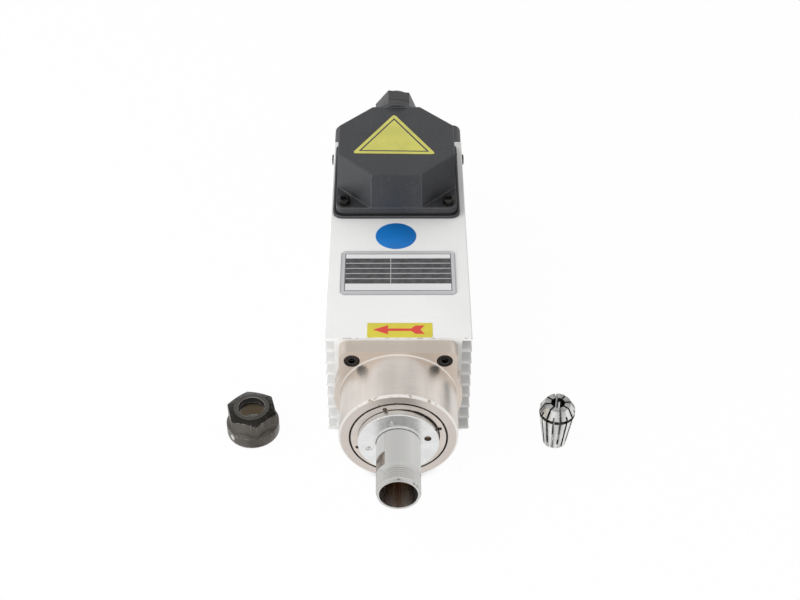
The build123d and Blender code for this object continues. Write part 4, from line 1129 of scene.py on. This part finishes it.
@dataclass
class Shaft(Assembly):
    """Spindle shaft, its plain thread stretch cut to a real thread."""

    finishes: ClassVar[dict[str, Finish]] = {"spindle_shaft": SHAFT_STEEL}
    front: float = -180.0 * MM
    rear: float = -168.6 * MM
    crest: float = 12.45 * MM
    root: float = 11.6 * MM
    pitch: float = 1.5 * MM
    flat: float = 0.16 * MM
    steps: int = 96
    sunk: float = 0.1 * MM
    slack: Span = (0.03 * MM, 0.05 * MM)

    def build(self) -> None:
        """Turns the stretch down to its root and winds the ridge on it."""
        shaft = Bench.copy("spindle_shaft", "threaded_shaft")
        Bench.pick(shaft, "VERT", self.on_crest)
        shrink = self.root / self.crest
        bpy.ops.transform.resize(value=(shrink, 1, shrink),
                                 center_override=(0, (self.front + self.rear) / 2, SHAFT_HEIGHT))
        Bench.done()
        ridge = self.ridge()
        Bench.only(shaft)
        ridge.select_set(True)
        bpy.ops.object.join()
        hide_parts("spindle_shaft")
        Bench.finish(shaft, Body.ROTOR, Slot.SHAFT, SHAFT_STEEL)

    def on_crest(self, vertex: bpy.types.MeshVertex) -> bool:
        """Whether a vertex lies on the plain stretch, with some slack across and along the shaft."""
        across, along = self.slack
        off = abs(math.hypot(vertex.co.x, vertex.co.z - SHAFT_HEIGHT) - self.crest)
        return self.front - along < vertex.co.y < self.rear + along and off < across

    def ridge(self) -> bpy.types.Object:
        """Winds a ridge with a flat crest along the stretch.

        Returns:
            The ridge, its foot sunk a little under the root.
        """
        turns = (self.rear - self.front) / self.pitch - 1
        foot, half = self.root - self.sunk, self.pitch / 2
        profile = [(foot, -half), (self.crest, -self.flat / 2), (self.crest, self.flat / 2), (foot, half)]
        made = Bench.trace("thread_ridge", profile + profile[:1])
        bpy.ops.mesh.remove_doubles(threshold=WELD / 2)
        Bench.done()
        Bench.modify(made, "SCREW", axis="Y", angle=math.tau * turns, screw_offset=self.pitch * turns,
                     steps=int(self.steps * turns), use_merge_vertices=False)
        made.location = (0, self.front + half, SHAFT_HEIGHT)
        Bench.settle(made)
        Bench.whole(made)
        bpy.ops.mesh.fill_holes(sides=4)
        Bench.turn_out()
        return made


@dataclass
class Motor(Assembly):
    """Stator, windings and rotor inside the body."""

    finishes: ClassVar[dict[str, Finish]] = {
        "stator_core": LAMINATION, "stator_windings": WINDING, "rotor_core": LAMINATION,
        "rotor_end_rings": CAST_ALUMINIUM}


@dataclass
class RearEnd(Assembly):
    """Rear end shield with its bearing, the fan and the cowl."""

    finishes: ClassVar[dict[str, Finish]] = {
        "rear_end_shield": CAST_ALUMINIUM, "rear_shield_screws": DARK_SCREW,
        "rear_bearing_outer_ring": BEARING_STEEL, "rear_bearing_inner_ring": BEARING_STEEL,
        "rear_bearing_balls": BEARING_STEEL, "rear_bearing_cage": BRASS,
        "preload_wave_spring": BEARING_STEEL, "rear_bearing_circlip": BEARING_STEEL,
        "cooling_fan": FAN_PLASTIC, "fan_circlip": BEARING_STEEL, "fan_cowl": COWL_PLASTIC,
        "fan_cowl_screws": DARK_SCREW}


@dataclass
class TerminalBox(Assembly):
    """Terminal box with its cover, gasket, block and gland."""

    finishes: ClassVar[dict[str, Finish]] = {
        "terminal_box_base": LID_PLASTIC, "terminal_box_gasket": GASKET_RUBBER,
        "terminal_box_cover": LID_PLASTIC, "terminal_cover_screws": DARK_SCREW,
        "terminal_block": BLOCK_PLASTIC, "terminal_links": BRASS, "terminal_studs": BRASS,
        "motor_leads": GASKET_RUBBER, "base_screws": DARK_SCREW, "cable_gland_body": GLAND_NYLON,
        "cable_gland_seal": GASKET_RUBBER, "cable_gland_nut": GLAND_NYLON}

    def build(self) -> None:
        """Lays the triangle on the lid."""
        LidTriangle().build()


@dataclass
class LooseNut(Assembly):
    """Clamping nut with its extraction ring; its hexagon is turned to a cone on top."""

    finishes: ClassVar[dict[str, Finish]] = {
        "collet_nut": NUT_OXIDE, "extraction_ring": RING_OXIDE}
    axis: Corner = (-87.6 * MM, -96.5 * MM)
    top: float = 19.5 * MM
    face: float = 10.6 * MM
    slope: float = math.radians(25)
    below: float = 1 * MM
    above: float = 0.1 * MM

    def build(self) -> None:
        """Keeps what lies inside a cone about the nut's axis."""
        nut = Bench.copy("collet_nut", "coned_nut")
        deep, over, fall = self.top + self.below, self.above, math.tan(self.slope)
        Bench.clear()
        bpy.ops.mesh.primitive_cone_add(
            vertices=128, radius1=self.face + deep / fall, radius2=self.face - over / fall, depth=deep + over,
            location=(*self.axis, self.top - deep / 2 + over / 2))
        cone = Bench.named("turning_cone")
        Bench.settle(cone)
        Bench.carve(nut, cone, "INTERSECT")
        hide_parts("collet_nut")
        Bench.finish(nut, Body.LOOSE_NUT, Slot.BLACK, NUT_OXIDE, smooth=20, weigh=True)


@dataclass
class LooseCollet(Assembly):
    """Collet, its slits sawn to their full width."""

    finishes: ClassVar[dict[str, Finish]] = {"collet": COLLET_STEEL}
    axis: Corner = (93.7 * MM, -105.1 * MM)
    length: float = 31.5 * MM
    slit: float = 1.05 * MM
    slits: int = 8
    turn: float = math.radians(5)
    front_web: float = 3.9 * MM
    rear_web: float = 3.3 * MM
    reach: float = 12 * MM
    over: float = 1 * MM

    def build(self) -> None:
        """Saws the slits, half of them from each end."""
        collet = Bench.copy("collet", "sawn_collet")
        ends = ((self.turn, self.front_web, self.length + self.over),
                (self.turn + math.pi / self.slits, -self.over, self.length - self.rear_web))
        x, y = self.axis
        for start, low, high in ends:
            for count in range(self.slits):
                blade = Bench.block("saw", (x, y - self.slit / 2, low),
                                    (x + self.reach, y + self.slit / 2, high))
                bpy.ops.transform.rotate(value=-start - count * math.tau / self.slits, orient_axis="Z",
                                         center_override=(*self.axis, 0))
                Bench.settle(blade)
                Bench.carve(collet, blade, "DIFFERENCE")
        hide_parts("collet")
        Bench.finish(collet, Body.LOOSE_COLLET, Slot.COLLET, COLLET_STEEL, smooth=30, weigh=True)


# ---- Studio ----
@dataclass(frozen=True)
class Lamp:
    """Square soft light that lights matt surfaces without a mirror image of itself."""

    name: str
    place: Point
    size: float
    power: float
    target: Point = (0, -20 * MM, 40 * MM)

    def build(self) -> None:
        """Adds the light, faced to its target."""
        Bench.clear()
        facing = (Vector(self.target) - Vector(self.place)).to_track_quat("-Z", "Y").to_euler()
        bpy.ops.object.light_add(type="AREA", location=self.place, rotation=facing)
        light = bpy.context.object
        light.name = self.name
        light.data.size = self.size
        light.data.energy = self.power
        light.visible_glossy = False


@dataclass
class Studio:
    """Pale floor, soft lights and the camera."""

    camera_place: Point = (-0.0003, -0.69139, 0.63494)
    camera_tilt: float = 48.4
    camera_turn: float = -0.125
    lens: float = 64.38
    sensor: float = 36
    nearest: float = 0.01
    rise: float = -0.00335
    world_level: float = 0.54
    canopy: Point = (0.0, 0.748, 0.664)
    canopy_level: float = 0.66
    canopy_fade: Span = (0.78, 0.985)
    card: Corner = (0.20, 0.08)
    card_fade: Span = (0.07, 0.16)
    card_dark: float = 0.12
    card_level: float = 0.92
    floor_half: float = 4.0
    floor_colour: Colour = (0.86, 0.86, 0.86)
    floor_shelter: float = 26 * MM
    floor_white: float = 0.97
    lamps: tuple[Lamp, ...] = (Lamp("key_light", (-0.85, -0.15, 1.05), 1.0, 6.5),
                               Lamp("side_light", (-1.05, -0.80, 0.30), 0.6, 12.0),
                               Lamp("fill_light", (0.9, -0.45, 0.7), 0.7, 2.0))

    def build(self) -> None:
        """Sets up camera, world, floor and lights."""
        self.aim_camera()
        self.light_world()
        self.lay_floor()
        for lamp in self.lamps:
            lamp.build()
        bpy.context.scene.view_settings.view_transform = "Standard"

    def aim_camera(self) -> None:
        """Places the camera."""
        Bench.clear()
        bpy.ops.object.camera_add(location=self.camera_place, rotation=(
            math.radians(self.camera_tilt), 0, math.radians(self.camera_turn)))
        camera = bpy.context.object
        camera.name = "studio_camera"
        camera.data.lens = self.lens
        camera.data.sensor_width = self.sensor
        camera.data.shift_y = self.rise
        camera.data.clip_start = self.nearest
        bpy.context.scene.camera = camera

    def light_world(self) -> None:
        """White surround, with a grey canopy behind the spindle that only reflections show."""
        world = bpy.data.worlds.new("studio_world")
        bpy.context.scene.world = world
        world.use_nodes = True
        graph = Graph(world.node_tree)
        way = graph.out("ShaderNodeTexCoord", output="Generated")
        side, _, up = graph.parts(way)
        seen, mirrored = graph.ray("Camera"), graph.ray("Glossy")
        near = graph.dot(way, self.canopy)
        glossy = graph.ranged(near, *self.canopy_fade, self.card_level, self.canopy_level)
        soft = graph.ranged(up * 0.6 - side * 0.5, -0.6, 0.9, 0.75, 1.15) * self.world_level
        level = mirrored * glossy + (1 - mirrored) * soft
        level = level * (1 - seen) + seen
        light = graph.out("ShaderNodeBackground", inputs={"Color": WHITE, "Strength": level})
        graph.node("ShaderNodeOutputWorld", inputs={"Surface": light})

    def lay_floor(self) -> None:
        """White floor with a faint shadow, mostly painted where objects stand close; reflections find a grey
        card beside the terminal box.
        """
        Bench.clear()
        bpy.ops.mesh.primitive_plane_add(size=2 * self.floor_half, location=(0, 0, 0))
        floor = Bench.named("studio_floor")
        made = bpy.data.materials.new("floor_white")
        made.use_nodes = True
        graph = Graph(made.node_tree)
        _, x, y, _ = graph.place()
        reach = graph.length(x - self.card[0], y - self.card[1])
        level = graph.ranged(reach, *self.card_fade, self.card_dark, self.card_level)
        # Painted shadow: the white the camera sees darkens where objects stand close, as inside the nut.
        painted_shadow_level = graph.ranged(graph.open_sky(self.floor_shelter), 0.12, 0.36, 0.02, 1.0)
        matt = graph.out("ShaderNodeBsdfDiffuse", inputs={"Color": (*self.floor_colour, 1)})
        card, white = (graph.out("ShaderNodeEmission", inputs={"Color": WHITE, "Strength": strength})
                       for strength in (level, painted_shadow_level))
        both = graph.out("ShaderNodeMixShader", inputs={0: graph.ray("Glossy"), 1: matt, 2: card})
        both = graph.out("ShaderNodeMixShader", inputs={0: graph.ray("Camera") * self.floor_white, 1: both,
                                                        2: white})
        graph.node("ShaderNodeOutputMaterial", inputs={"Surface": both})
        floor.data.materials.append(made)


def main() -> None:
    """Builds the scene."""
    logging.basicConfig(level=logging.INFO, format="%(name)s %(message)s")
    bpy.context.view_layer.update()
    Studio().build()
    for kind in (BodyAndLabels, FrontEnd, Shaft, Motor, RearEnd, TerminalBox, LooseNut, LooseCollet):
        part = kind()
        part.dress()
        part.build()
    Bench.clear()


if __name__ == "__main__":
    main()
